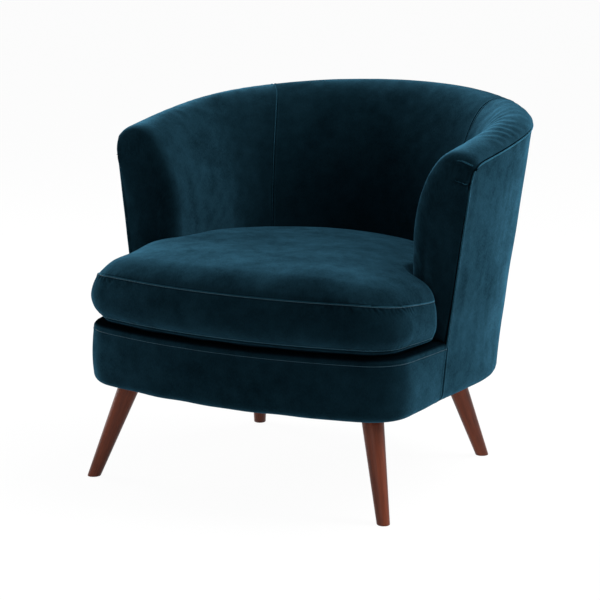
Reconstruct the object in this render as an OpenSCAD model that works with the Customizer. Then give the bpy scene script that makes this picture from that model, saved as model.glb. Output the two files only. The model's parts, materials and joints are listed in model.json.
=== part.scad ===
/* [Plan of the body] */
// Half width of the base, at its widest line
half_width = 346; // [325:1:365]
// Depth of the base in front of its widest line
front_depth = 340; // [325:1:360]
// Depth of the base behind its widest line
back_depth = 372; // [355:1:390]
// Radius of the plan along the front
front_radius = 1005; // [950:5:1100]
// Radius of the plan at the front corners
front_corner_radius = 80; // [72:1:95]
// Radius of the plan along the sides, in front of the widest line
front_side_radius = 3400; // [2800:50:4500]
// Radius of the plan along the back, over the half width
back_round = 32; // [26:1:38]
// Radius of the plan at the back corners, short of the half width
back_corner_round = 114; // [106:1:121]
// Radius of the plan along the sides behind the widest line, over the half width
back_side_round = 588; // [554:2:634]

/* [Heights] */
// Underside of the upholstered base
base_bottom = 186; // [170:1:200]
// Stitched seam round the top of the base
seam_height = 290.5; // [280:0.5:300]
// Deck that the cushion rests on, above the base seam
lip_height = 12.5; // [9.5:0.5:15.5]
// Rim seam at the arm fronts, above the base seam
arm_rise = 335.5; // [310:0.5:360]
// Rim seam at the middle of the back, above the base seam
back_rise = 404.5; // [380:0.5:430]
// Bow of the rim above a straight line from arm to back
rim_bow = 2.2; // [0:0.1:5]

/* [Shell of arms and back] */
// Outward lean of the shell, for each unit of height above the base seam
flare = 0.136; // [0.1:0.002:0.16]
// Inward lean of the shell below the base seam
base_taper = 0.1; // [0:0.01:0.12]
// Inward lean of the base border
border_taper = 0.01; // [0:0.01:0.05]
// Belly of the base border
border_belly = 4; // [0:0.5:6]
// Distance over which the belly dies out at the arm fronts
border_blend = 120; // [80:10:160]
// Distance from the widest line forward to the arm fronts
arm_reach = 97; // [85:1:110]
// Backward lean of the arm fronts
arm_lean = 0.024; // [0:0.002:0.04]
// Distance from the base outline in to the plumb inner wall
wall_depth = 88; // [84:1:92]
// Height above the deck at which the inner wall starts to roll outwards
spring_rise = 157; // [137:1:177]
// Distance from the rim seam in to the crest of the roll
roll_width = 41; // [36:1:46]
// Height of the crest above the rim seam
roll_height = 24; // [18:1:30]
// Rounding of the inner corner of each arm front
arm_round = 38; // [34:1:44]
// Rounding of the seam at the top corner of each arm front
seam_corner = 28; // [24:1:32]
// Fullness of the padded arm front
arm_bulge = 4; // [0:0.5:5]
// Rounding along the bottom edge of the base, in front of the arms
bottom_round = 22; // [18:1:26]
// Rounding along the bottom edge of the shell
shell_round = 30; // [24:1:34]
// Rounding of the lip at the top of the base
lip_round = 12; // [8:1:14]
// Width of the velvet that turns in over the deck
lip_width = 45; // [38:1:55]

/* [Thicknesses] */
// Velvet with its backing
cover_t = 1.5; // [1:0.1:2]
// Wadding under the outside velvet
wadding_t = 4; // [2:0.5:6]
// Fibreboard under the outside wadding
board_t = 3; // [2:0.5:4]
// Plywood of the frame
ply_t = 18; // [15:1:21]
// Depth of the ribs and of the top rail
rib_depth = 42; // [36:1:46]
// Webbing across the ribs
webbing_t = 2; // [1.5:0.5:3]
// Foam in front of each arm post
arm_pad_t = 18; // [15:1:22]
// Bent plywood of the front rail
front_rail_t = 12; // [9:1:13]
// Felt over the seat springs
felt_t = 2.5; // [1.5:0.5:4]
// Woven cloth under the chair
dust_cover_t = 0.8; // [0.5:0.1:1.2]

/* [Seat springs] */
// Diameter of the spring wire
wire_d = 3.8; // [3.2:0.1:4.4]
// Radius of each bend of the wire
bend_radius = 11; // [9:0.5:13]
// Width of each spring
spring_width = 50; // [40:1:60]
// Centre lines of the outer springs, in from the widest line of the base
outer_spring_in = 176; // [166:1:196]
// Number of springs
spring_count = 5; // [3:2:5]

/* [Legs] */
// Front feet, in from the widest line of the base
front_foot_in = 28; // [20:1:40]
// Front feet, back from the front of the base
front_foot_back = 53; // [46:1:64]
// Back feet, in from the widest line of the base
back_foot_in = 86; // [76:1:100]
// Back feet, forward from the back of the base
back_foot_forward = 140; // [127:1:155]
// Lean of each leg from upright
leg_splay = 22.5; // [18:0.5:25]
// Direction of the front legs, from square to the side
front_leg_turn = 45; // [35:1:55]
// Direction of the back legs, from square to the side
back_leg_turn = 59.5; // [50:0.5:70]
// Diameter of a leg at the base
leg_top_d = 42; // [38:1:46]
// Diameter of a leg at the floor
leg_foot_d = 24; // [20:1:28]
// Diameter of the hanger bolts
bolt_d = 8; // [6:1:10]

/* [Seat cushion] */
// Lower seam of the cushion, above the deck
low_seam_rise = 11; // [9:0.5:15]
// Height of the cushion between its lower seam and its top seam, at the front
cushion_side = 84; // [76:1:91]
// Crown of the cushion above its top seam
crown_rise = 48; // [37:1:57]
// Distance from the base outline in to the front seam
cushion_inset = 10; // [6:1:14]
// Swell of the boxing beyond its seams
cushion_swell = 14; // [8:1:16]
// Droop of the top seam at the ends of the ears
ear_droop = 16; // [0:1:18]
// Rounding of each ear in plan
ear_round = 34; // [28:1:38]
// Gap from the cushion's seams to the arms
arm_gap = 5.5; // [5:0.5:7]
// Gap from the cushion's rear to the back, with room for the zip
rear_gap = 9; // [8:0.5:11]
// Half of the angle that the zip covers
zip_half_angle = 38; // [30:1:40]

/* [Hidden] */
// Facets of round parts
$fn = 48;
// Gap between soft layers that lie on each other
lay_gap = 0.2;
// Gap between pieces of different bodies at rest
rest_gap = 0.3;
// Gap that keeps flat frame pieces clear of the faceted layers round them
frame_gap = 0.8;
// Frame faces, measured from the outer surface of the shell
frame_out = cover_t + wadding_t + board_t + frame_gap;
frame_in = frame_out + rib_depth;
// Foam face over the webbing
foam_in = frame_in + webbing_t + 0.7;
// Overhang of the cushion in front of the base
front_overhang = max(border_belly, cushion_swell - cushion_inset);
// Furthest back of the rim seam behind the widest line
back_radius = half_width + back_round;
back_corner_radius = half_width - back_corner_round;
back_side_radius = half_width + back_side_round;
deck_top = seam_height + lip_height;
arm_rim = seam_height + arm_rise;
back_rim = seam_height + back_rise;
spring_height = deck_top + spring_rise;
cushion_low_seam = deck_top + low_seam_rise;
cushion_seam = cushion_low_seam + cushion_side;
cushion_crown = cushion_seam + crown_rise;
back_reach = back_depth + flare * (back_rim - seam_height);
// The widest line, placed so that the chair stands centred on the origin
widest_y = (front_depth + front_overhang - back_reach) / 2;

// Distance between springs
spring_pitch = 2 * (half_width - outer_spring_in) / (spring_count - 1);

// Levels of the frame, from the underside up
ring_bottom = base_bottom + cover_t;
ring_top = ring_bottom + ply_t;
strip_t = wire_d + 3 * rest_gap + 2.4;
foam_t = deck_top - cover_t - seam_height + 10;
seat_ring_top = deck_top - cover_t - foam_t - felt_t - strip_t;
seat_ring_bottom = seat_ring_top - ply_t;
strip_top = seat_ring_top + strip_t;
tuck_bottom = seat_ring_top + rest_gap;

// Outlines of the frame in plan, from the base outline in
rail_face = bottom_round + ply_t / 2 - 1;
ring_front = rail_face - 0.2;
front_rail_face = ring_front - front_rail_t;
ring_back = frame_in + base_taper * (seam_height - base_bottom);
deck_back = wall_depth + 1.5;
ring_width = 70;
back_ring_width = 86;
strip_width = 20;

// Colours
velvet = [0.07, 0.2, 0.27];
walnut = [0.3, 0.15, 0.11];
plywood = [0.78, 0.64, 0.45];
steel = [0.62, 0.64, 0.66];
foam_yellow = [0.93, 0.87, 0.66];
felt_grey = [0.45, 0.45, 0.47];
black_cloth = [0.08, 0.08, 0.09];

// Plan geometry: a quarter is a side arc, a corner arc and an end arc, each tangent to the next

// Centre of the corner arc, for a quarter that runs from (a, 0) to (0, b)
function corner_centre(a, b, end_r, corner_r, side_r) =
    let (
        c1 = [a - side_r, 0],
        c2 = [0, b - end_r],
        r1 = side_r - corner_r,
        r2 = end_r - corner_r,
        gap = norm(c2 - c1),
        along = (r1 * r1 - r2 * r2 + gap * gap) / (2 * gap),
        across = sqrt(r1 * r1 - along * along),
        dir = (c2 - c1) / gap,
        foot = c1 + dir * along,
        p = foot + [-dir.y, dir.x] * across,
        q = foot - [-dir.y, dir.x] * across
    ) p.x + p.y > q.x + q.y ? p : q;

front_corner = corner_centre(half_width, front_depth, front_radius, front_corner_radius, front_side_radius);
back_corner = corner_centre(half_width, back_depth, back_radius, back_corner_radius, back_side_radius);
front_side_centre = [half_width - front_side_radius, 0];
back_side_centre = [half_width - back_side_radius, 0];
front_end_centre = [0, front_radius - front_depth];
back_end_centre = [0, back_depth - back_radius];
// Angles at which the arcs meet
front_side_angle = atan2(front_corner.y, front_corner.x - front_side_centre.x);
front_corner_angle = atan2(front_corner.y + front_end_centre.y, front_corner.x);
back_side_angle = atan2(back_corner.y, back_corner.x - back_side_centre.x);
back_corner_angle = atan2(back_corner.y - back_end_centre.y, back_corner.x);
// Angle of the arm fronts on the side arc
arm_angle = -asin(arm_reach / front_side_radius);
// The panels of the back meet here: the inside seams slant back as they rise
panel_low = 44.3;
panel_angle = 48.9;
panel_low_z = seam_height + 139.5;
function panel_at(z) =
    panel_low + (panel_angle - panel_low) * pow(max(0, min(1, (z - panel_low_z) / (back_rim - panel_low_z))), 2);

function unit(angle) = [cos(angle), sin(angle)];
function steps(from, to, count) = [for (i = [1:count]) from + (to - from) * i / count];

// A station is [point of the base outline, outward normal, distance behind the arm front, rounding angle]
function station(centre, radius, angle, back = 1000, turn = 90) =
    [centre + radius * unit(angle), unit(angle), back, turn];
function moved(s, d, turn) =
    [s[0] + d * [-s[1].y, s[1].x], s[1], d, turn];
function mirrored(s) = [[-s[0].x, s[0].y], [-s[1].x, s[1].y], s[2], s[3], s[4]];
// A station without the slant of a panel seam
function upright(s) = [s[0], s[1], s[2], s[3]];
function reversed(list) = [for (i = [len(list) - 1:-1:0]) list[i]];

arm_front = station(front_side_centre, front_side_radius, arm_angle, 0, 0);
forward = [arm_front[1].y, -arm_front[1].x];

// Stations round the rounded end of an arm, for a surface that lies e below the finished one
cap_turns = [0, 20, 40];
function post_turn(e) = acos((arm_round - arm_pad_t) / (arm_round - e));
function cap(e, turns) =
    [for (t = turns) moved(arm_front, arm_round - (arm_round - e) * cos(t), t)];
function front_cap(e) = cap(e, concat(cap_turns, [post_turn(e)]));
function post_cap(e) = cap(e, [post_turn(e)]);
function rear_cap(e) = cap(e, [75, 90]);

// Stations from the rounded arm end to the panel seam, and on to the middle of the back
panel_seam = concat(station(back_end_centre, back_radius, panel_angle), [true]);
side_run = concat(
    [station(front_side_centre, front_side_radius, arm_angle / 4), station(back_side_centre, back_side_radius, 0)],
    [for (a = steps(0, back_side_angle, 3)) station(back_side_centre, back_side_radius, a)],
    [for (a = steps(back_side_angle, back_corner_angle, 5)) station(back_corner, back_corner_radius, a)],
    [panel_seam]
);
back_run = concat(
    [panel_seam],
    [for (a = steps(panel_angle, 90, 7)) station(back_end_centre, back_radius, a)]
);
back_stations = concat([for (s = back_run) mirrored(s)], [for (i = [6:-1:0]) back_run[i]]);

// Stations of the base border, from the left arm front round the front to the right one
border_run = concat(
    [arm_front],
    [for (a = steps(arm_angle, -front_side_angle, 3)) station(front_side_centre, front_side_radius, a)],
    [for (a = steps(-front_side_angle, -front_corner_angle, 8))
        station([front_corner.x, -front_corner.y], front_corner_radius, a)],
    [for (a = steps(-front_corner_angle, -90, 5)) station(front_end_centre, front_radius, a)]
);
border_stations = concat([for (s = border_run) mirrored(s)], [for (i = [15:-1:0]) border_run[i]]);

// A closed outline that keeps front_u from the base outline in front of the arms, and back_u behind
least_corner = 20;
function closed_outline(front_u, back_u) =
    let (
        back_points = concat(
            [for (a = steps(90, back_corner_angle, 16)) back_end_centre + (back_radius - back_u) * unit(a)],
            [for (a = steps(back_corner_angle, back_side_angle, 12))
                back_corner + (back_corner_radius - back_u) * unit(a)],
            [for (a = steps(back_side_angle, 0, 2)) back_side_centre + (back_side_radius - back_u) * unit(a)]
        ),
        corner_r = max(front_corner_radius - front_u, least_corner),
        side_r = front_side_radius - front_u,
        end_r = front_radius - front_u,
        c = corner_centre(half_width - front_u, front_depth - front_u, end_r, corner_r, side_r),
        side_a = atan2(c.y, c.x - front_side_centre.x),
        end_a = atan2(c.y + front_end_centre.y, c.x),
        front_points = concat(
            [for (k = [0:3]) front_side_centre + side_r * unit(arm_angle + (-side_a - arm_angle) * k / 3)],
            [for (a = steps(-side_a, -end_a, 8)) [c.x, -c.y] + corner_r * unit(a)],
            [for (a = steps(-end_a, -90, 5)) front_end_centre + end_r * unit(a)]
        ),
        step_in = arm_front[0] - back_u * arm_front[1],
        right = concat([[0, back_depth - back_u]], back_points, [step_in], front_points)
    )
    concat(right, [for (i = [len(right) - 2:-1:1]) [-right[i].x, right[i].y]]);

module plan_shape(front_u, back_u) {
    translate([0, widest_y]) polygon(closed_outline(front_u, back_u));
}

module plan_ring(front_out, front_in, back_out, back_in) {
    difference() {
        plan_shape(front_out, back_out);
        plan_shape(front_in, back_in);
    }
}

module plate(z0, z1) {
    translate([0, 0, z0]) linear_extrude(z1 - z0) children();
}

// Shell surfaces

// Offset of the outer surface from the base outline
function lean(z) = z > seam_height ? flare * (z - seam_height) : base_taper * (z - seam_height);
// Height of the rim seam over a place in plan
function rim_at(y) =
    let (t = (y + arm_reach) / (back_reach + arm_reach))
    arm_rim + (back_rim - arm_rim) * t + 4 * rim_bow * t * (1 - t);
function rim_y(s, z) = s[0].y + s[1].y * lean(z);
function rim_height(s) = rim_at(rim_y(s, rim_at(rim_y(s, rim_at(rim_y(s, back_rim))))));
// The rim seam turns down over the top corner of the arm front
function corner_drop(d, e) =
    d >= seam_corner ? 0
        : seam_corner - sqrt(max(0, pow(seam_corner - e, 2) - pow(seam_corner - max(d, e), 2)));
function seam_z(s, e = 0) = rim_height(s) - corner_drop(s[2], e);

// A point of the shell at a station, u out from the base outline and z up
function shell_point(s, u, z) =
    let (
        settle = max(0, 1 - s[2] / arm_pad_t) * arm_lean * max(0, z - seam_height),
        slant = station(back_end_centre, back_radius, panel_at(z)),
        q = s[4] ? (s[0].x < 0 ? mirrored(slant) : slant) : s,
        p = q[0] + u * q[1] + settle * [-s[1].y, s[1].x] * (s[0].x < 0 ? -1 : 1)
    ) [p.x, p.y + widest_y, z];

// Profile of the inside surface: over the roll, down the inner wall and into the tuck
roll_angles = [0, 30, 60, 90];
wall_angles = [15, 30, 45, 60, 75, 90];
function inset_at(s, e) = arm_round - (arm_round - e) * sin(s[3]);
function crest_u(s) = lean(rim_height(s)) - roll_width;
function crest_z(s, e) =
    seam_z(s, e) + roll_height * (1 - 0.6 * (inset_at(s, e) - e) / arm_round) - e;
function inside_profile(s, e) =
    let (
        wall_u = -wall_depth + inset_at(s, e),
        z0 = seam_z(s, e),
        top = crest_z(s, e),
        u0 = lean(z0) - e,
        mid = crest_u(s)
    ) concat(
        [for (a = roll_angles) [mid + (u0 - mid) * cos(a), z0 + (top - z0) * sin(a)]],
        [for (a = wall_angles)
            [mid + (wall_u - mid) * sin(a), spring_height + (top - spring_height) * cos(a)]],
        [[wall_u, (spring_height + seam_height) / 2], [wall_u, seam_height], [wall_u, tuck_bottom]]
    );
function section(s, profile) = [for (q = profile) shell_point(s, q[0], q[1])];
function inside_section(s, e) = section(s, inside_profile(s, e));

// Front face of an arm: from the rounded edge across to the outer seam
function arm_face_section(e, t) =
    let (
        s = moved(arm_front, e, 0),
        profile = inside_profile(s, e),
        rows = len(profile),
        top = profile[0][1]
    ) [for (j = [0:rows - 1])
        let (
            z = top + (tuck_bottom - top) * j / (rows - 1),
            edge = [lean(z) - cover_t - lay_gap, z],
            q = profile[j] + (edge - profile[j]) * t,
            swell = arm_bulge * 4 * t * (1 - t) * max(0, min(1, (q[1] - deck_top - 25) / 60)),
            p = shell_point(s, q[0], q[1])
        ) p + swell * [forward.x, forward.y, 0]];

// Profile of the outside surface: from the rim seam down and under the bottom edge
round_angles = [0, 30, 60, 90];
function under_profile(u, r, e) =
    let (corner = [u - r, base_bottom + r])
    concat(
        [for (a = round_angles) corner + (r - e) * [cos(a), -sin(a)]],
        [[corner[0] - 15, base_bottom + e]]
    );
function outside_profile(s, e) =
    let (z0 = seam_z(s, e), mid = (z0 + seam_height) / 2)
    concat(
        [[lean(z0) - e, z0], [lean(mid) - e, mid], [-e, seam_height]],
        under_profile(lean(base_bottom + shell_round), shell_round, e)
    );
// The border: a lip over the deck, then a belly that dies out towards the arm fronts
function border_share(s) = min(1, norm([abs(s[0].x), s[0].y] - arm_front[0]) / border_blend);
function border_u(s, z) =
    let (
        t = (z - base_bottom) / (seam_height - base_bottom),
        own = border_taper * (z - seam_height) + border_belly * 4 * t * (1 - t)
    ) lean(z) + (own - lean(z)) * border_share(s);
function border_profile(s, e) =
    let (
        lip = deck_top - seam_height,
        r = shell_round + (bottom_round - shell_round) * border_share(s),
        low_z = base_bottom + r,
        mid_z = (low_z + seam_height) / 2
    )
    concat(
        [[-lip_width, deck_top - e]],
        [for (a = [90, 60, 30, 0]) [-lip_round + (lip_round - e) * cos(a), seam_height + (lip - e) * sin(a)]],
        [[border_u(s, mid_z) - e, mid_z]],
        under_profile(border_u(s, low_z), r, e)
    );

// Solids from surfaces

// A sheet between two matching grids of points, a on one side and b on the other
module sheet(a, b, closed = false) {
    n = len(a);
    m = len(a[0]);
    last = closed ? n - 1 : n - 2;
    function at_a(i, j) = (i % n) * m + j;
    function at_b(i, j) = n * m + (i % n) * m + j;
    function quad(p, q, r, s) = [[p, q, r], [p, r, s]];
    sides = [for (i = [0:last], j = [0:m - 2]) each concat(
        quad(at_a(i, j), at_a(i, j + 1), at_a(i + 1, j + 1), at_a(i + 1, j)),
        quad(at_b(i, j), at_b(i + 1, j), at_b(i + 1, j + 1), at_b(i, j + 1))
    )];
    edges = [for (i = [0:last]) each concat(
        quad(at_a(i, 0), at_a(i + 1, 0), at_b(i + 1, 0), at_b(i, 0)),
        quad(at_a(i + 1, m - 1), at_a(i, m - 1), at_b(i, m - 1), at_b(i + 1, m - 1))
    )];
    ends = closed ? [] : [for (j = [0:m - 2]) each concat(
        quad(at_a(0, j + 1), at_a(0, j), at_b(0, j), at_b(0, j + 1)),
        quad(at_a(n - 1, j), at_a(n - 1, j + 1), at_b(n - 1, j + 1), at_b(n - 1, j))
    )];
    polyhedron(
        points = concat([for (row = a) each row], [for (row = b) each row]),
        faces = concat(sides, edges, ends),
        convexity = 10
    );
}

// A domed skin between two stacks of matching rings, each closed by a fan to its own middle point
module domed_skin(outer, inner, outer_middle, inner_middle) {
    n = len(outer);
    m = len(outer[0]);
    function at_out(k, i) = k * m + i % m;
    function at_in(k, i) = (n + k) * m + i % m;
    function quad(p, q, r, s) = [[p, q, r], [p, r, s]];
    top = 2 * n * m;
    walls = [for (k = [0:n - 2], i = [0:m - 1]) each concat(
        quad(at_out(k, i + 1), at_out(k + 1, i + 1), at_out(k + 1, i), at_out(k, i)),
        quad(at_in(k + 1, i), at_in(k + 1, i + 1), at_in(k, i + 1), at_in(k, i))
    )];
    rim = [for (i = [0:m - 1]) each quad(at_in(0, i + 1), at_out(0, i + 1), at_out(0, i), at_in(0, i))];
    fans = [for (i = [0:m - 1]) each [
        [top, at_out(n - 1, i), at_out(n - 1, i + 1)],
        [top + 1, at_in(n - 1, i + 1), at_in(n - 1, i)]
    ]];
    polyhedron(
        points = concat([for (ring = outer) each ring], [for (ring = inner) each ring],
            [outer_middle, inner_middle]),
        faces = concat(walls, rim, fans),
        convexity = 10
    );
}

// A solid through closed rings of points, from the bottom ring up, closed by fans to two middle points
module stacked_rings(rings, low_point, high_point) {
    n = len(rings);
    m = len(rings[0]);
    function at(k, i) = k * m + i % m;
    low = n * m;
    high = low + 1;
    walls = [for (k = [0:n - 2], i = [0:m - 1]) each [
        [at(k, i + 1), at(k + 1, i + 1), at(k + 1, i)],
        [at(k, i + 1), at(k + 1, i), at(k, i)]
    ]];
    floor_fan = [for (i = [0:m - 1]) [low, at(0, i + 1), at(0, i)]];
    roof_fan = [for (i = [0:m - 1]) [high, at(n - 1, i), at(n - 1, i + 1)]];
    polyhedron(
        points = concat([for (ring = rings) each ring], [low_point, high_point]),
        faces = concat(walls, floor_fan, roof_fan),
        convexity = 10
    );
}

module both_sides(side) {
    if (side > 0) children();
    else mirror([1, 0, 0]) children();
}

// Frame

module frame_ring(z0) {
    plate(z0, z0 + ply_t)
        plan_ring(ring_front, ring_front + ring_width, ring_back + rest_gap, ring_back + back_ring_width);
}

// The lower outer edge is rebated for the turn of the covers
rebate_height = 2.5;
rebate_width = 9;
module bottom_ring() {
    color(plywood) difference() {
        union() {
            plate(ring_bottom, ring_bottom + rebate_height)
                plan_ring(ring_front + rebate_width, ring_front + ring_width,
                    ring_back + rebate_width, ring_back + back_ring_width);
            plate(ring_bottom + rebate_height, ring_top)
                plan_ring(ring_front, ring_front + ring_width, ring_back + rest_gap, ring_back + back_ring_width);
        }
        each_leg() insert_bore();
    }
}

module seat_ring() {
    color(plywood) frame_ring(seat_ring_bottom);
}

module edge_strip() {
    color(plywood) plate(seat_ring_top, strip_top)
        plan_ring(ring_front, ring_front + strip_width + 10, deck_back, deck_back + strip_width);
}

// Bent plywood round the front, on the outer edges of both rings
module front_rail() {
    z0 = ring_bottom + 8;
    function wall(u) = [for (s = border_stations)
        [for (z = [z0, strip_top]) [s[0].x - u * s[1].x, s[0].y - u * s[1].y + widest_y, z]]];
    color(plywood) sheet(wall(front_rail_face), wall(ring_front - lay_gap));
}

// Places of the blocks between the rings: station and distance in from the base outline
block_places = [
    [station(front_end_centre, front_radius, -82), 70],
    [station(back_side_centre, back_side_radius, 1), 95],
    [station(back_end_centre, back_radius, 78), 95]
];
module spacer_blocks() {
    color(plywood) for (side = [-1, 1], b = block_places) both_sides(side)
        translate([b[0][0].x - b[1] * b[0][1].x, b[0][0].y - b[1] * b[0][1].y + widest_y, ring_top])
            rotate([0, 0, atan2(b[0][1].y, b[0][1].x)])
                translate([-25, -30, 0]) cube([50, 60, seat_ring_bottom - ring_top]);
}

// Profile of a rib or an arm post, in distance from the base outline and height
function rib_profile(top) = [
    [lean(ring_bottom) - rail_face - 4, ring_bottom + 4],
    [lean(base_bottom + shell_round) - frame_out - 1, base_bottom + shell_round + 6],
    [-frame_out, seam_height],
    [lean(top) - frame_out, top],
    [lean(top) - frame_in, top],
    [-frame_in, seam_height],
    [-ring_back, ring_bottom + ply_t],
    [-ring_back, ring_bottom + 4]
];
rail_t = 20;
rail_drop = 6;
module rib(s) {
    top = rim_height(s) - corner_drop(s[2] - ply_t / 2, 0) - rail_drop - rail_t - 1.5;
    translate([s[0].x, s[0].y + widest_y, 0]) rotate([90, 0, atan2(s[1].y, s[1].x)])
        translate([0, 0, -ply_t / 2]) linear_extrude(ply_t) polygon(rib_profile(top));
}
module arm_post() { rib(moved(arm_front, arm_pad_t + ply_t / 2 + lay_gap, 0)); }
module side_ribs() {
    for (i = [1, 4, 7, 9]) rib(side_run[i]);
}

module arm_post_left() { color(plywood) both_sides(-1) arm_post(); }
module arm_post_right() { color(plywood) arm_post(); }
module ribs_left() { color(plywood) both_sides(-1) side_ribs(); }
module ribs_right() { color(plywood) side_ribs(); }
module rib_back() { color(plywood) rib(station(back_end_centre, back_radius, 90)); }

// Stations of a layer that runs from post to post
function layer_half(e) = concat(post_cap(e), rear_cap(e), side_run);
function layer_stations(e) = concat(
    [for (s = layer_half(e)) mirrored(s)],
    [for (i = [1:len(back_stations) - 2]) back_stations[i]],
    reversed(layer_half(e))
);

// A band of a layer, with its two surfaces at depths e0 and e1 and its edges at the heights given
module band(stations, e0, e1, top_drop, bottom_z) {
    function rows(s) = let (top = rim_height(s) - top_drop)
        [top, (top + seam_height) / 2, seam_height, bottom_z];
    function face(e) = [for (s = stations) [for (z = rows(s)) shell_point(upright(s), lean(z) - e, z)]];
    sheet(face(e0), face(e1));
}

module top_rail() {
    function rail_face_at(s, u) =
        [for (z = [seam_z(s) - rail_drop, seam_z(s) - rail_drop - rail_t]) shell_point(s, lean(z) - u, z)];
    stations = layer_stations(0);
    color(plywood) sheet(
        [for (s = stations) rail_face_at(s, frame_out)],
        [for (s = stations) rail_face_at(s, frame_in)]
    );
}

// Soft layers over the frame

module outer_board(stations) {
    color([0.55, 0.42, 0.3])
        band(stations, cover_t + wadding_t + lay_gap, cover_t + wadding_t + board_t, 12, base_bottom + shell_round);
}
side_stations = concat(post_cap(0), rear_cap(0), side_run);
module outer_board_left() { both_sides(-1) outer_board_right(); }
module outer_board_right() { outer_board(reversed(side_stations)); }
module outer_board_back() { outer_board(back_stations); }

module outer_wadding() {
    color("white")
        band(layer_stations(0), cover_t + lay_gap, cover_t + wadding_t, 10, base_bottom + shell_round);
}

webbing_heights = [for (rise = [39.5, 139.5, 239.5]) seam_height + rise];
webbing_width = 50;
module back_webbing() {
    stations = layer_stations(0);
    function face(z0, e) = [for (s = stations)
        [for (z = [z0 + webbing_width, z0]) shell_point(s, lean(z) - e, z)]];
    color([0.75, 0.68, 0.5]) for (z0 = webbing_heights)
        sheet(face(z0, frame_in + 0.4), face(z0, frame_in + 0.4 + webbing_t));
}

// Frame side of the foam: over the top rail, then down the webbing
function foam_back_section(s) =
    let (
        rail_z = seam_z(s) - rail_drop + lay_gap,
        over = [for (k = [0:3]) [lean(rim_height(s)) - frame_out - k * (rib_depth + 2) / 4, rail_z]],
        down = [for (k = [0:7]) let (z = rail_z + (seam_height - rail_z) * k / 7) [lean(z) - foam_in, z]]
    ) section(s, concat(over, down, [[-foam_in, tuck_bottom]]));
module inside_foam() {
    e = cover_t + lay_gap;
    stations = layer_stations(e);
    color(foam_yellow) sheet(
        [for (s = stations) foam_back_section(s)],
        [for (s = stations) inside_section(s, e)]
    );
}

// Foam over the front of an arm post, rounded towards the seat
module arm_pad() {
    e = cover_t + lay_gap;
    function ring(s) = concat(
        inside_section(s, e),
        [for (z = [tuck_bottom, seam_height]) shell_point(s, lean(z) - e, z)]
    );
    rings = [for (s = front_cap(e)) ring(s)];
    function middle(r) = [for (k = [0:2]) (r[2][k] + r[10][k]) / 2];
    color(foam_yellow) stacked_rings(rings, middle(rings[0]), middle(rings[3]));
}
module arm_pad_left() { both_sides(-1) arm_pad(); }
module arm_pad_right() { arm_pad(); }

// Velvet covers of the shell

module outside_cover(stations) {
    color(velvet) sheet(
        [for (s = stations) section(upright(s), outside_profile(s, 0))],
        [for (s = stations) section(upright(s), outside_profile(s, cover_t))]
    );
}
function cover_stations(e) = reversed(concat(front_cap(e), rear_cap(e), side_run));
module outside_cover_right() { outside_cover(cover_stations(0)); }
module outside_cover_left() { both_sides(-1) outside_cover_right(); }
module outside_cover_back() { outside_cover(back_stations); }

module inside_cover_right() {
    function faces_at(e) = concat(
        [for (s = cover_stations(e)) inside_section(s, e)],
        [arm_face_section(e, 0.35), arm_face_section(e, 0.7), arm_face_section(e, 1)]
    );
    color(velvet) sheet(faces_at(cover_t), faces_at(0));
}
module inside_cover_left() { both_sides(-1) inside_cover_right(); }
module inside_cover_back() {
    color(velvet) sheet(
        [for (s = back_stations) inside_section(s, cover_t)],
        [for (s = back_stations) inside_section(s, 0)]
    );
}

// Base border, with its lip over the deck

module border_cover() {
    function faces_at(e) = [for (s = border_stations) section(s, border_profile(s, e))];
    color(velvet) sheet(faces_at(cover_t), faces_at(0));
}
module border_foam() {
    e = cover_t + lay_gap;
    foam_back = front_rail_face - lay_gap;
    function rows(s) = let (outer = border_profile(s, e)) [for (j = [1:7]) outer[j]];
    function front(s) = section(s, rows(s));
    function back(s) = section(s, [for (q = rows(s)) [min(-foam_back, q[0] - 1), q[1]]]);
    color(foam_yellow) sheet([for (s = border_stations) back(s)], [for (s = border_stations) front(s)]);
}

// Deck under the cushion

module deck_felt() {
    color(felt_grey) plate(strip_top, strip_top + felt_t) plan_shape(front_rail_face, deck_back);
}
module deck_foam() {
    color(foam_yellow) plate(strip_top + felt_t, deck_top - cover_t) plan_shape(front_rail_face, deck_back);
}
module deck_cover() {
    color(black_cloth) plate(deck_top - cover_t, deck_top) plan_shape(lip_width + lay_gap, deck_back);
}
module dust_cover() {
    color(black_cloth) difference() {
        plate(base_bottom - dust_cover_t, base_bottom) plan_shape(bottom_round + 8, shell_round + 14);
        each_leg() leg_cone(1);
    }
}

// Seat springs: zigzag wire, clipped to the seat ring at both ends

wire_z = seat_ring_top + 1.2 + rest_gap + wire_d / 2;
spring_front_line = ring_front + ring_width - 16;
spring_back_line = ring_back + back_ring_width - 14;
spring_places = [for (k = [0:spring_count - 1]) (k - (spring_count - 1) / 2) * spring_pitch];
function front_end_y(x) =
    front_end_centre.y - sqrt(pow(front_radius - spring_front_line, 2) - x * x) + widest_y;
function back_end_y(x) =
    back_end_centre.y + sqrt(pow(back_radius - spring_back_line, 2) - x * x) + widest_y;
function bends(x) = floor((back_end_y(x) - front_end_y(x)) / (2 * bend_radius));
function bend_r(x) = floor(5 * (back_end_y(x) - front_end_y(x)) / bends(x)) / 10;
function spring_end_y(x) = front_end_y(x) + 2 * bends(x) * bend_r(x);

module spring(x) {
    r = bend_r(x);
    reach = spring_width / 2 - r;
    translate([x, front_end_y(x), wire_z]) {
        for (k = [0:bends(x)])
            translate([-reach, 2 * r * k, 0]) rotate([0, 90, 0]) cylinder(h = 2 * reach, d = wire_d, $fn = 16);
        for (k = [0:bends(x) - 1]) {
            right = k % 2 == 0;
            translate([right ? reach : -reach, 2 * r * k + r, 0]) rotate([0, 0, right ? -90 : 90])
                rotate_extrude(angle = 180, $fn = 32) translate([r, 0]) circle(d = wire_d, $fn = 16);
        }
    }
}
module seat_spring(k) {
    color(steel) spring(spring_places[k - 1]);
}

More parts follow.
